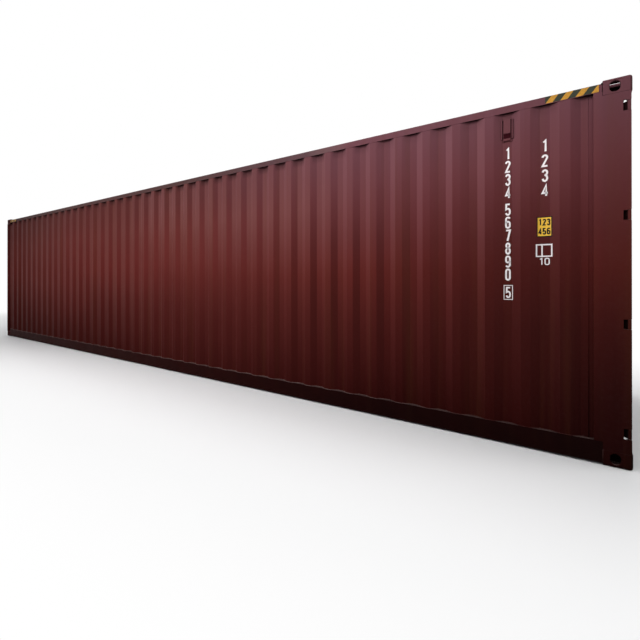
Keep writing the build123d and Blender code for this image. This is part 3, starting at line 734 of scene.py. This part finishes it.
# How far out the faces of post and header lie, at either end
END_FACES = {1: (post_high.x, header_end_x), -1: (HALF_LENGTH - 0.0035, HALF_LENGTH - 0.0045)}


def corner_beads(level, post_x, header_x):
    """Welds about the top or bottom casting of a left corner at the +X end."""
    def build(work):
        top = level > HEIGHT / 2
        rail_z, far_z = (rail_low.z, rail_high.z) if top else (level, bottom_rail_low.z)
        inner_y = LEFT + WELD_DEPTH
        add_bead(work, [(INNER_END, WELD_Y, level), (HALF_LENGTH - 0.008, WELD_Y, level)], SIDE_BEAD)
        add_bead(work, [(post_x, WELD_Y, level), (post_x, inner_y, level)], POST_BEAD)
        add_bead(work, [(INNER_END, rail_low.y, rail_z), (INNER_END, rail_low.y, far_z)], RAIL_BEAD)
        add_bead(work, [(header_x, CASTING_INNER_Y, level), (header_x, CASTING_INNER_Y, far_z)], HEADER_BEAD)
        if top:
            rail_top = [(INNER_END, rail_low.y, rail_high.z), (INNER_END, rail_high.y, rail_high.z)]
            add_bead(work, rail_top, RAIL_TOP_BEAD, 10)
            add_bead(work, [(post_low.x, WELD_Y, rail_low.z), (INNER_END, WELD_Y, rail_low.z)], LEDGE_BEAD)
    return build


for stem, level, coat in (("top", CASTING_FOOT, seam_shade_paint), ("bottom", CASTING[2], dusty_paint)):
    beads = {end: mesh_from("corner", corner_beads(level, *faces)) for end, faces in END_FACES.items()}
    corner_meshes = [mirrored(beads[x], x, y) for x, y in FOUR_CORNERS]
    new_piece(f"{stem}_corner_welds", joined(f"{stem}_corner_welds", corner_meshes), coat)


def wall_beads(work):
    """Welds along the top and foot of the left wall, beside the rear post and under the roof."""
    for level, radius in ((wall_high.z, WALL_BEAD), (bottom_rail_high.z, FOOT_BEAD)):
        bends = bends_between(wall_low.x + 0.04, wall_high.x)
        add_bead(work, [(x, wall_face(x), level) for x in bends], radius)
    post_seam = [(wall_high.x, VALLEY_Y, z) for z in (CASTING[2] + 0.002, wall_high.z)]
    roof_seam = [(x, ROOF_WELD_Y, rail_high.z + 0.001) for x in (-INNER_END, INNER_END)]
    for seam in (post_seam, roof_seam):
        add_bead(work, seam, WALL_BEAD)


def leaf_beads(work):
    """Weld round the corrugated panel of the left leaf."""
    low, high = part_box("door_panel_left")
    x = high.x
    corners = [(x, low.y, low.z), (x, high.y, low.z), (x, high.y, high.z), (x, low.y, high.z)]
    for start, end in zip(corners, corners[1:] + corners[:1]):
        add_bead(work, [start, end], LEAF_BEAD)


new_pair("wall_welds", wall_beads, bead_paint)
new_pair("leaf_welds", leaf_beads, bead_paint, on_doors=True)

# ---- hinge lugs, seals and lashing rings

HINGES, BARREL, NOTCH = 4, 0.070, 0.085
LUG_FROM, LUG_STEP, LUG_TO = post_high.x - 0.0481, HALF_LENGTH - 0.032, post_high.x - 0.0006
# Each plate's ends along x, its thickness and its depth
END_LUGS = ((LUG_STEP, LUG_TO, 0.0050, 0.027),)
INNER_LUGS = ((LUG_FROM, LUG_STEP, 0.0070, 0.047), (LUG_STEP - 0.001, LUG_TO, 0.0054, 0.040))
LIP_REACH, CENTRE_LIP_REACH, LIP_BACK, LIP_FRONT, LIP_ROUND = 0.0045, 0.0065, 0.020, 0.006, 0.0018
RING_LEVELS = ((0.215, 1), (2.775, -1))
# Half the ring's length and its place behind the wall's outermost face, from its foot to its middle
RING_PATH = ((0.024, 0.0085, 0), (0.024, 0.031, 0), (0.016, 0.043, 0.002))
RING_RADIUS = 0.005
hinge_low, hinge_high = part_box("hinges_left")
hinge_heights = spaced(hinge_low.z + BARREL / 2, hinge_high.z - BARREL / 2, HINGES)


def hinge_lugs(work):
    """Plates above and below the left hinges, that leave the blades a thin gap."""
    for index, z in enumerate(hinge_heights):
        for way in (-1, 1):
            outermost = (index == 0 and way < 0) or (index == HINGES - 1 and way > 0)
            edge = z + way * NOTCH / 2
            for x_low, x_high, thick, deep in END_LUGS if outermost else INNER_LUGS:
                low, high = sorted((edge + way * 0.001, edge - way * thick))
                add_box(work, (x_low, post_low.y + 0.0004, low), (x_high, post_low.y + deep, high), 0.0006, 1)


def seal_lips(work):
    """Outer lip of the left leaf's rubber seal, round its edge behind the outer face."""
    low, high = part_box("door_frame_left")
    back, front = high.x - LIP_BACK, high.x - LIP_FRONT
    outer_y, centre_y = low.y - LIP_REACH, high.y + CENTRE_LIP_REACH
    for z_low, z_high in ((low.z - LIP_REACH, low.z + 0.001), (high.z - 0.001, high.z + LIP_REACH)):
        add_box(work, (back, outer_y, z_low), (front, centre_y, z_high), LIP_ROUND)
    add_box(work, (back, outer_y, low.z), (front, low.y + 0.001, high.z), LIP_ROUND)
    add_box(work, (back, high.y - 0.001, low.z), (front, centre_y, high.z), LIP_ROUND)


def lashing_rings(work):
    """Bent bars welded inside the left wall's crests, near the floor and under the top rail."""
    for index in range(3, CRESTS - 2, 4):
        x = FIRST_CREST + index * PITCH
        for z, way in RING_LEVELS:
            half = [(reach, LEFT + back, z + way * rise) for reach, back, rise in RING_PATH]
            path = [(x - reach, y, level) for reach, y, level in half]
            path += [(x + reach, y, level) for reach, y, level in reversed(half)]
            add_bead(work, path, RING_RADIUS, 8)


new_pair("hinge_lugs", hinge_lugs, recess_shade_paint)
new_pair("seal_lips", seal_lips, materials["seal_rubber"], on_doors=True)
new_pair("lashing_rings", lashing_rings, materials["paint"])

# ---- ventilators

vent_low, vent_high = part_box("ventilators")
VENT_HALF = 0.047
# Each ventilator's middle along x and its side: left near the doors, right near the front
VENTILATORS = ((vent_high.x - VENT_HALF, -1), (vent_low.x + VENT_HALF, 1))
SLOT_FROM, SLOT_TO = 0.029, 0.069
COVER_REACH = 0.0285


def vent_box(work, vent, across, out, up, radius, segments=2):
    """Box on a ventilator, by its ranges along the wall, out of the valley and above the foot."""
    x, side = vent
    ys = sorted(side * (-VALLEY_Y + reach) for reach in out)
    low = (x + across[0], ys[0], vent_low.z + up[0])
    high = (x + across[1], ys[1], vent_low.z + up[1])
    add_box(work, low, high, radius, segments)


def ventilator_covers(work):
    """Pressed covers between two side rails on a foot plate, with a tab at each corner."""
    tall = vent_high.z - vent_low.z
    for vent in VENTILATORS:
        vent_box(work, vent, (-0.034, 0.034), (0, 0.006), (0.004, tall - 0.004), 0.001)
        vent_box(work, vent, (-COVER_REACH, COVER_REACH), (0.004, 0.022), (SLOT_TO, tall - 0.006), 0.004)
        vent_box(work, vent, (-COVER_REACH, COVER_REACH), (0.004, 0.018), (0.008, SLOT_FROM), 0.004)
        for way in (-1, 1):
            rail = sorted((way * 0.0365, way * 0.0465))
            tab = sorted((way * 0.022, way * 0.038))
            vent_box(work, vent, rail, (0, 0.021), (0.022, tall - 0.008), 0.002)
            vent_box(work, vent, tab, (0, 0.010), (0, 0.010), 0.002)
            vent_box(work, vent, tab, (0, 0.014), (tall - 0.010, tall), 0.002)


def ventilator_screens(work):
    """Dark screens behind the covers' slots."""
    up = (SLOT_FROM - 0.0005, SLOT_TO + 0.0005)
    for vent in VENTILATORS:
        vent_box(work, vent, (-0.028, 0.028), (0.005, 0.016), up, 0.0008, 1)


covers = new_piece("ventilator_covers", ventilator_covers, materials["vent_cover"])
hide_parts("ventilators")
screen_black = plain("screen_black", SCREEN, 0.8, spread=0.4, scale=400, specular=0.02)
new_piece("ventilator_screens", ventilator_screens, screen_black)

# ---- bolts, rivets and screws

zinc_bolts = plain("zinc_fixings", ZINC_FIXING, 0.5, 0.7, spread=0.4, scale=80)
WASHER, HEAD = 0.002, 0.006
STRAP_BOLT, BRACKET_BOLT, CATCH_BOLT = 0.018, 0.011, 0.009
PIVOT_RADIUS, RIVET_RADIUS, SCREW_RADIUS = 0.007, 0.0045, 0.006
BLADE_BOLTS_IN = (0.099, 0.144)
BRACKET_BOLT_SPREAD = (0.039, 0.014)
CATCH_BOLT_SPREAD = (0.018, 0.024)
RIVET_MARGIN = 0.014
RIVETS_UP, RIVETS_ACROSS = 17, 7
SCREW_ROWS, SCREW_PITCH, SCREWS_ACROSS, SCREWED_HALF = 39, 0.3, 14, 1.10
panel_low, panel_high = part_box("door_panel_left")
floor_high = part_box("floor")[1]


def add_bolt(work, x, y, z, across):
    """Hexagon head on a washer, on a face at x that looks to the door end."""
    add_prism(work, (x + WASHER / 2, y, z), "X", circle(across * 0.62), WASHER)
    add_prism(work, (x + WASHER + HEAD / 2, y, z), "X", circle(across / 2, 6), HEAD)


def leaf_fixings(work):
    """Bolts of the left leaf's hinge blades, rod brackets and handle catches, and the handles' pivots."""
    for z in hinge_heights:
        for back in BLADE_BOLTS_IN:
            add_bolt(work, hinge_low.x + 0.012, LEFT + back, z, STRAP_BOLT)

    bracket_low, bracket_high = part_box("rod_brackets_left")
    frame_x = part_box("door_frame_left")[1].x + 0.0032
    panel_x = panel_high.x + 0.0032
    pitch = (panel_high.z - panel_low.z) / 5
    heights = (
        (frame_x, bracket_low.z + 0.025), (frame_x, bracket_high.z - 0.025),
        (panel_x, panel_low.z + pitch), (panel_x, panel_high.z - pitch),
    )
    beside, above = BRACKET_BOLT_SPREAD
    for rod_y in (bracket_low.y + 0.048, bracket_high.y - 0.048):
        for x, z in heights:
            for way in (-1, 1):
                for dz in (-above, above):
                    add_bolt(work, x, rod_y + way * beside, z + dz, BRACKET_BOLT)

    catch_low, catch_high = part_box("handle_catches_left")
    handle_low, handle_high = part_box("door_handles_left")
    levels = (handle_high.z - 0.016, handle_low.z + 0.016)
    beside, above = CATCH_BOLT_SPREAD
    for y, z in zip((catch_low.y + 0.030, catch_high.y - 0.030), levels):
        for way in (-1, 1):
            add_bolt(work, panel_x, y + way * beside, z + way * above, CATCH_BOLT)
    for y, z in zip((handle_low.y + 0.023, handle_high.y - 0.023), levels):
        add_prism(work, (handle_high.x - 0.0028, y, z), "X", circle(PIVOT_RADIUS), 0.005)


def seal_rivets(work):
    """Rivets of the left leaf's seal, round the inner face of its frame."""
    low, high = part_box("door_frame_left")
    spots = []
    for z in spaced(low.z + 0.06, high.z - 0.06, RIVETS_UP):
        spots += [(low.y + RIVET_MARGIN, z), (high.y - RIVET_MARGIN, z)]
    for y in spaced(low.y + 0.08, high.y - 0.08, RIVETS_ACROSS):
        spots += [(y, low.z + RIVET_MARGIN), (y, high.z - RIVET_MARGIN)]
    for y, z in spots:
        add_prism(work, (low.x - 0.0004, y, z), "X", circle(RIVET_RADIUS, 8), 0.0014)


def floor_screws(work):
    """Sunk screws of the floor boards over the cross members."""
    for row in range(SCREW_ROWS):
        x = floor_high.x - 0.16 - row * SCREW_PITCH
        for y in spaced(-SCREWED_HALF, SCREWED_HALF, SCREWS_ACROSS):
            add_prism(work, (x, y, floor_high.z + 0.0002), "Z", circle(SCREW_RADIUS, 8), 0.0008)


new_pair("leaf_fixings", leaf_fixings, zinc_bolts, on_doors=True)
new_pair("seal_rivets", seal_rivets, zinc_bolts, on_doors=True)
new_piece("floor_screws", floor_screws, zinc_bolts)

# ---- marks

white_ink = plain("white_lettering", WHITE, 0.5, spread=0.12, scale=25, specular=0.1)
black_ink = plain("black_lettering", BLACK, 0.5, spread=0.2, scale=25, specular=0.1)
yellow_film = plain("yellow_film", YELLOW, 0.45, spread=0.12, scale=12, specular=0.15)


def draped(work, x_span, z_span, off=0.0006):
    """Thin film that follows the left wall's corrugation."""
    columns = [
        [work.verts.new((x, wall_face(x) - off, z)) for z in z_span]
        for x in bends_between(*x_span)
    ]
    for before, after in zip(columns, columns[1:]):
        work.faces.new((before[0], after[0], after[1], before[1]))


def arc(u, v, reach_u, reach_v, start, end, steps=6):
    """Points of an elliptic arc between two angles in degrees."""
    angles = (radians(start + (end - start) * step / steps) for step in range(steps + 1))
    return [(u + reach_u * cos(angle), v + reach_v * sin(angle)) for angle in angles]


# Strokes of plain narrow numerals, in a box one high, as middle lines
R = 0.19
NUMERALS = {
    "0": [arc(R, 1 - R, R, R, 0, 180) + arc(R, R, R, R, 180, 360) + [(2 * R, 1 - R)]],
    "1": [[(0.08, 0.83), (0.25, 1.0), (0.25, 0)]],
    "2": [arc(R, 1 - R, R, R, 180, -20) + [(0, 0.02), (2 * R + 0.02, 0.02)]],
    "3": [arc(R, 0.77, R, 0.23, 170, -80) + arc(R, 0.27, R, 0.27, 80, -170)],
    "4": [[(0.29, 0), (0.29, 1), (0, 0.27), (0.42, 0.27)]],
    "5": [
        [(2 * R, 1), (0.03, 1), (0.01, 0.52)] + arc(R, 0.35, R, 0.24, 120, 0) + arc(R, 0.22, R, 0.22, 0, -170)
    ],
    "6": [arc(R, 0.81, R, R, 20, 180) + arc(R, R, R, R, 180, 360) + arc(R, 0.40, R, R, 0, 165)],
    "7": [[(0, 1), (2 * R + 0.02, 1), (0.15, 0)]],
    "8": [arc(R, 0.27, R, 0.27, 90, 450, 14), arc(R, 0.78, 0.9 * R, 0.22, -90, 270, 14)],
    "9": [arc(R, R, R, R, 200, 360) + arc(R, 1 - R, R, R, 0, 180) + arc(R, 0.60, R, R, 180, 345)],
}
STROKE = 0.14


def add_stroke(work, line, stroke, off):
    """Flat ribbon on the left wall, along a line of points given by x and z."""
    points = [Vector(point) for point in line]
    pairs = []
    for index, point in enumerate(points):
        before = points[max(index - 1, 0)]
        after = points[min(index + 1, len(points) - 1)]
        ways = [way.normalized() for way in (point - before, after - point) if way.length > 1e-9]
        along = sum(ways, Vector((0, 0))).normalized()
        reach = stroke / 2 / max(abs(along.dot(ways[0])), 0.5)
        across = Vector((-along.y, along.x)) * reach
        edges = (point + across, point - across)
        pairs.append([work.verts.new((x, wall_face(x) - off, z)) for x, z in edges])
    for (left, right), (next_left, next_right) in zip(pairs, pairs[1:]):
        work.faces.new((left, right, next_right, next_left))


def numerals(work, text, middle, low, height, width=0.5, off=0.0008, stroke=STROKE):
    """Numerals in a row on the left wall; width and stroke are shares of their height."""
    inner = height * (1 - stroke)
    scale_u = (width - stroke) * height / (2 * R)
    step = width * height * 1.12
    for index, digit in enumerate(text):
        start = middle + (index - (len(text) - 1) / 2) * step - scale_u * R
        for line in NUMERALS[digit]:
            line = [(start + u * scale_u, low + height * stroke / 2 + v * inner) for u, v in line]
            add_stroke(work, line, stroke * height, off)


def add_frame(work, x_span, z_span, line, divider=None):
    """Rectangular outline of the given line width, with an upright divider."""
    (x_low, x_high), (z_low, z_high) = x_span, z_span
    draped(work, x_span, (z_high - line, z_high))
    draped(work, x_span, (z_low, z_low + line))
    uprights = [(x_low, x_low + line), (x_high - line, x_high)]
    if divider:
        uprights.append((divider - line / 2, divider + line / 2))
    for upright in uprights:
        draped(work, upright, (z_low + line, z_high - line))


NUMBER_VALLEY = LAST_CREST - 1.5 * PITCH
CODE_VALLEY = LAST_CREST - 0.5 * PITCH
DIGIT_HEIGHT = 0.104
NUMBER, NUMBER_WIDTH = "1234567890", 0.42
NUMBER_TOPS = [2.523 - 0.111 * i for i in range(4)] + [2.046 - 0.111 * i for i in range(6)]
CODE, CODE_WIDTH = "1234", 0.46
CODE_TOPS = [2.538 - 0.121 * i for i in range(4)]
# Frames have their ends along x and z and their line; numbers their middle, foot, height and width
CHECK_FRAME = (NUMBER_VALLEY - 0.030, NUMBER_VALLEY + 0.042), (1.224, 1.349), 0.006
CHECK_DIGIT = "5", NUMBER_VALLEY + 0.006, 1.238, 0.096, NUMBER_WIDTH
SIGN_FRAME, SIGN_DIVIDER = ((5.4755, 5.593), (1.581, 1.686), 0.0105), 5.519
SIGN_NUMBER = "10", 5.534, 1.514, 0.060, 0.62
PLATE_X, PLATE_Z, PLATE_RIM = (5.489, 5.584), (1.752, 1.902), 0.0075
PLATE_LINES, PLATE_STROKE = (("123", 5.536, 1.836, 0.056, 0.48), ("456", 5.536, 1.762, 0.056, 0.48)), 0.19
# How far the plate's rim, its face and its print stand off the wall
RIM_OFF, PLATE_OFF, PRINT_OFF = 0.0007, 0.0010, 0.0013
# The right side's marks stand in the valley between the 40th and the 41st wave
RIGHT_SHIFT = (LAST_CREST - 39.5 * PITCH) + NUMBER_VALLEY


def side_digits(work):
    """Two columns of numerals, and a framed one under the longer."""
    for digit, top in zip(NUMBER, NUMBER_TOPS):
        numerals(work, digit, NUMBER_VALLEY + 0.004, top - DIGIT_HEIGHT, DIGIT_HEIGHT, NUMBER_WIDTH)
    add_frame(work, *CHECK_FRAME)
    numerals(work, *CHECK_DIGIT)
    for digit, top in zip(CODE, CODE_TOPS):
        numerals(work, digit, CODE_VALLEY, top - DIGIT_HEIGHT, DIGIT_HEIGHT, CODE_WIDTH)


def framed_sign(work):
    """Empty white frame with an upright divider and a plain number under it."""
    add_frame(work, *SIGN_FRAME, divider=SIGN_DIVIDER)
    numerals(work, *SIGN_NUMBER)


def height_plate(work):
    draped(work, PLATE_X, PLATE_Z, PLATE_OFF)


def height_plate_print(work):
    """Dark rim of the yellow plate, and two lines of numerals on it."""
    rim = [(low - PLATE_RIM, high + PLATE_RIM) for low, high in (PLATE_X, PLATE_Z)]
    draped(work, *rim, RIM_OFF)
    for line in PLATE_LINES:
        numerals(work, *line, PRINT_OFF, PLATE_STROKE)


digits_left = mesh_from("side_digits_left", side_digits)
digits_right = digits_left.copy()
digits_right.transform(Matrix.Translation((RIGHT_SHIFT, 0, 0)) @ Matrix.Rotation(pi, 4, "Z"))
new_piece("side_digits_left", digits_left, white_ink)
new_piece("side_digits_right", digits_right, white_ink)
for name, build, ink in (
    ("framed_sign", framed_sign, white_ink),
    ("height_plate", height_plate, yellow_film),
    ("height_plate_print", height_plate_print, black_ink),
):
    new_piece(name, build, ink)

HATCH_X, HATCH_Z = (5.545, 5.896), (2.815, 2.869)
HATCH_LEAN = 0.76
HATCH_PERIOD = 0.1005
HATCH_START = 5.8495 - HATCH_Z[0] * HATCH_LEAN
OCHRE_SHARE = 0.475


def hatch_material():
    """Leaning ochre and dark stripes on the ends of the top rails."""
    finish = Finish("hatch_film", 0.5, specular=0.1)
    lean = finish.math("SUBTRACT", finish.axis("X"), finish.product(finish.axis("Z"), HATCH_LEAN))
    periods = finish.math("DIVIDE", finish.math("SUBTRACT", lean, HATCH_START), HATCH_PERIOD)
    stripe = finish.math("GREATER_THAN", finish.math("FRACT", periods), OCHRE_SHARE)
    wear = finish.patches(45)
    ochre = finish.mix(wear, tuple(c * 0.8 for c in OCHRE), OCHRE)
    dark = finish.mix(wear, tuple(c * 0.7 for c in DARK_GREEN), DARK_GREEN)
    finish.colour(finish.mix(stripe, ochre, dark))
    finish.bump((finish.noise(300, 2), 0.0001))
    return finish.material


def hatch_film(work):
    y = rail_low.y - 0.0008
    (left, right), (low, high) = HATCH_X, HATCH_Z
    corners = [(left, low), (right, low), (right, high), (left, high)]
    work.faces.new([work.verts.new((x, y, z)) for x, z in corners])


hatch = hatch_material()
hatch_mesh = mesh_from("hatch_rear_left", hatch_film)
new_piece("hatch_rear_left", hatch_mesh, hatch)
for name, x, y in (("hatch_front_left", -1, 1), ("hatch_rear_right", 1, -1), ("hatch_front_right", -1, -1)):
    new_piece(name, mirrored(hatch_mesh, x, y), hatch)

# ---- camera and studio

camera_data = bpy.data.cameras.new("camera")
camera_data.lens = FOCAL_LENGTH
camera_data.sensor_width = SENSOR
camera_data.shift_y = SHIFT_Y
camera_data.clip_end = 200
camera = bpy.data.objects.new("camera", camera_data)
camera.location = CAMERA_AT
turn = Matrix.Rotation(CAMERA_TURN, 4, "Z") @ Matrix.Rotation(pi / 2 + CAMERA_PITCH, 4, "X")
camera.rotation_euler = (turn @ Matrix.Rotation(CAMERA_ROLL, 4, "Z")).to_euler()
scene.collection.objects.link(camera)
scene.camera = camera

BACKDROP = (1, 1, 1)
AMBIENT = (0.12, 0.125, 0.135)
FLOOR_SIZE = 60.0
FLOOR_COLOUR = (0.9, 0.9, 0.9)
FLOOR_DARK = (0.05, 0.048, 0.045)
FLOOR_DROP = 0.0005
FADE_FROM, FADE_TO = 1.7, 4.2
FADE_STRETCH = (0.25, 1, 1)
FAR_LIGHT = 0.6
COOL = (0.95, 0.97, 1)


def seen_directly(nodes, links):
    """One for what the camera sees, also by reflection or through glass."""
    path = nodes.new("ShaderNodeLightPath")
    total = path.outputs["Is Camera Ray"]
    for name in ("Is Glossy Ray", "Is Transmission Ray"):
        add = nodes.new("ShaderNodeMath")
        add.operation = "MAXIMUM"
        links.new(total, add.inputs[0])
        links.new(path.outputs[name], add.inputs[1])
        total = add.outputs[0]
    return total


world = bpy.data.worlds.new("studio")
scene.world = world
world.use_nodes = True
nodes, links = world.node_tree.nodes, world.node_tree.links
light = nodes["Background"]
light.inputs["Color"].default_value = (*AMBIENT, 1)
pale = nodes.new("ShaderNodeBackground")
pale.inputs["Color"].default_value = (*BACKDROP, 1)
choose = nodes.new("ShaderNodeMixShader")
links.new(seen_directly(nodes, links), choose.inputs[0])
links.new(light.outputs[0], choose.inputs[1])
links.new(pale.outputs[0], choose.inputs[2])
links.new(choose.outputs[0], nodes["World Output"].inputs["Surface"])


def floor_material():
    """Pale matt floor that takes the object's shadow and passes into the backdrop far away."""
    finish = Finish("studio_floor", 0.9, specular=0.1)
    seen = seen_directly(finish.nodes, finish.links)
    finish.colour(finish.mix(seen, FLOOR_DARK, FLOOR_COLOUR))
    oval = finish.node("ShaderNodeMapping", {"Vector": finish.place, "Scale": FADE_STRETCH})
    distance = finish.node("ShaderNodeVectorMath", {0: oval.outputs[0]}, operation="LENGTH").outputs["Value"]
    fade = finish.node(
        "ShaderNodeMapRange",
        {"Value": distance, "From Min": FADE_FROM, "From Max": FADE_TO},
        interpolation_type="SMOOTHSTEP",
    )
    strength = finish.span(seen, 0, 1, FAR_LIGHT, 1)
    glow = finish.node("ShaderNodeEmission", {"Color": (*BACKDROP, 1), "Strength": strength})
    shaders = {0: fade.outputs[0], 1: finish.shader.outputs[0], 2: glow.outputs[0]}
    blend = finish.node("ShaderNodeMixShader", shaders)
    finish.links.new(blend.outputs[0], finish.nodes["Material Output"].inputs["Surface"])
    return finish.material


def floor_plane(work):
    half = FLOOR_SIZE / 2
    work.faces.new([work.verts.new((x * half, y * half, 0)) for x, y in ((-1, -1), (1, -1), (1, 1), (-1, 1))])


floor = bpy.data.objects.new("studio_floor", mesh_from("studio_floor", floor_plane))
floor.data.materials.append(floor_material())
floor.location.z = -FLOOR_DROP
scene.collection.objects.link(floor)


def area_lamp(name, at, toward, size_x, size_y, watts, tint=(1, 1, 1)):
    data = bpy.data.lights.new(name, "AREA")
    data.shape = "RECTANGLE"
    data.size, data.size_y = size_x, size_y
    data.energy = watts
    data.color = tint
    lamp = bpy.data.objects.new(name, data)
    lamp.location = at
    lamp.rotation_euler = (Vector(toward) - Vector(at)).to_track_quat("-Z", "Y").to_euler()
    lamp.visible_camera = False
    scene.collection.objects.link(lamp)


for side, word in ((-1, "left"), (1, "right")):
    area_lamp(f"overhead_{word}", (1.7, side * 3.8, 3.7), (1.7, side * 1.2, 2.0), 11, 1.4, 190)
    area_lamp(f"fill_{word}", (-5, side * 9, 6), (-1, 0, 1.5), 7, 5, 110, COOL)
for end, word in ((-1, "front"), (1, "rear")):
    area_lamp(f"end_{word}", (end * 11, 0, 6), (end * 6, 0, 1.4), 5, 3, 170)
area_lamp("top", (0, 0, 9), (0, 0, 0), 14, 4, 400)

scene.view_settings.view_transform = "Standard"
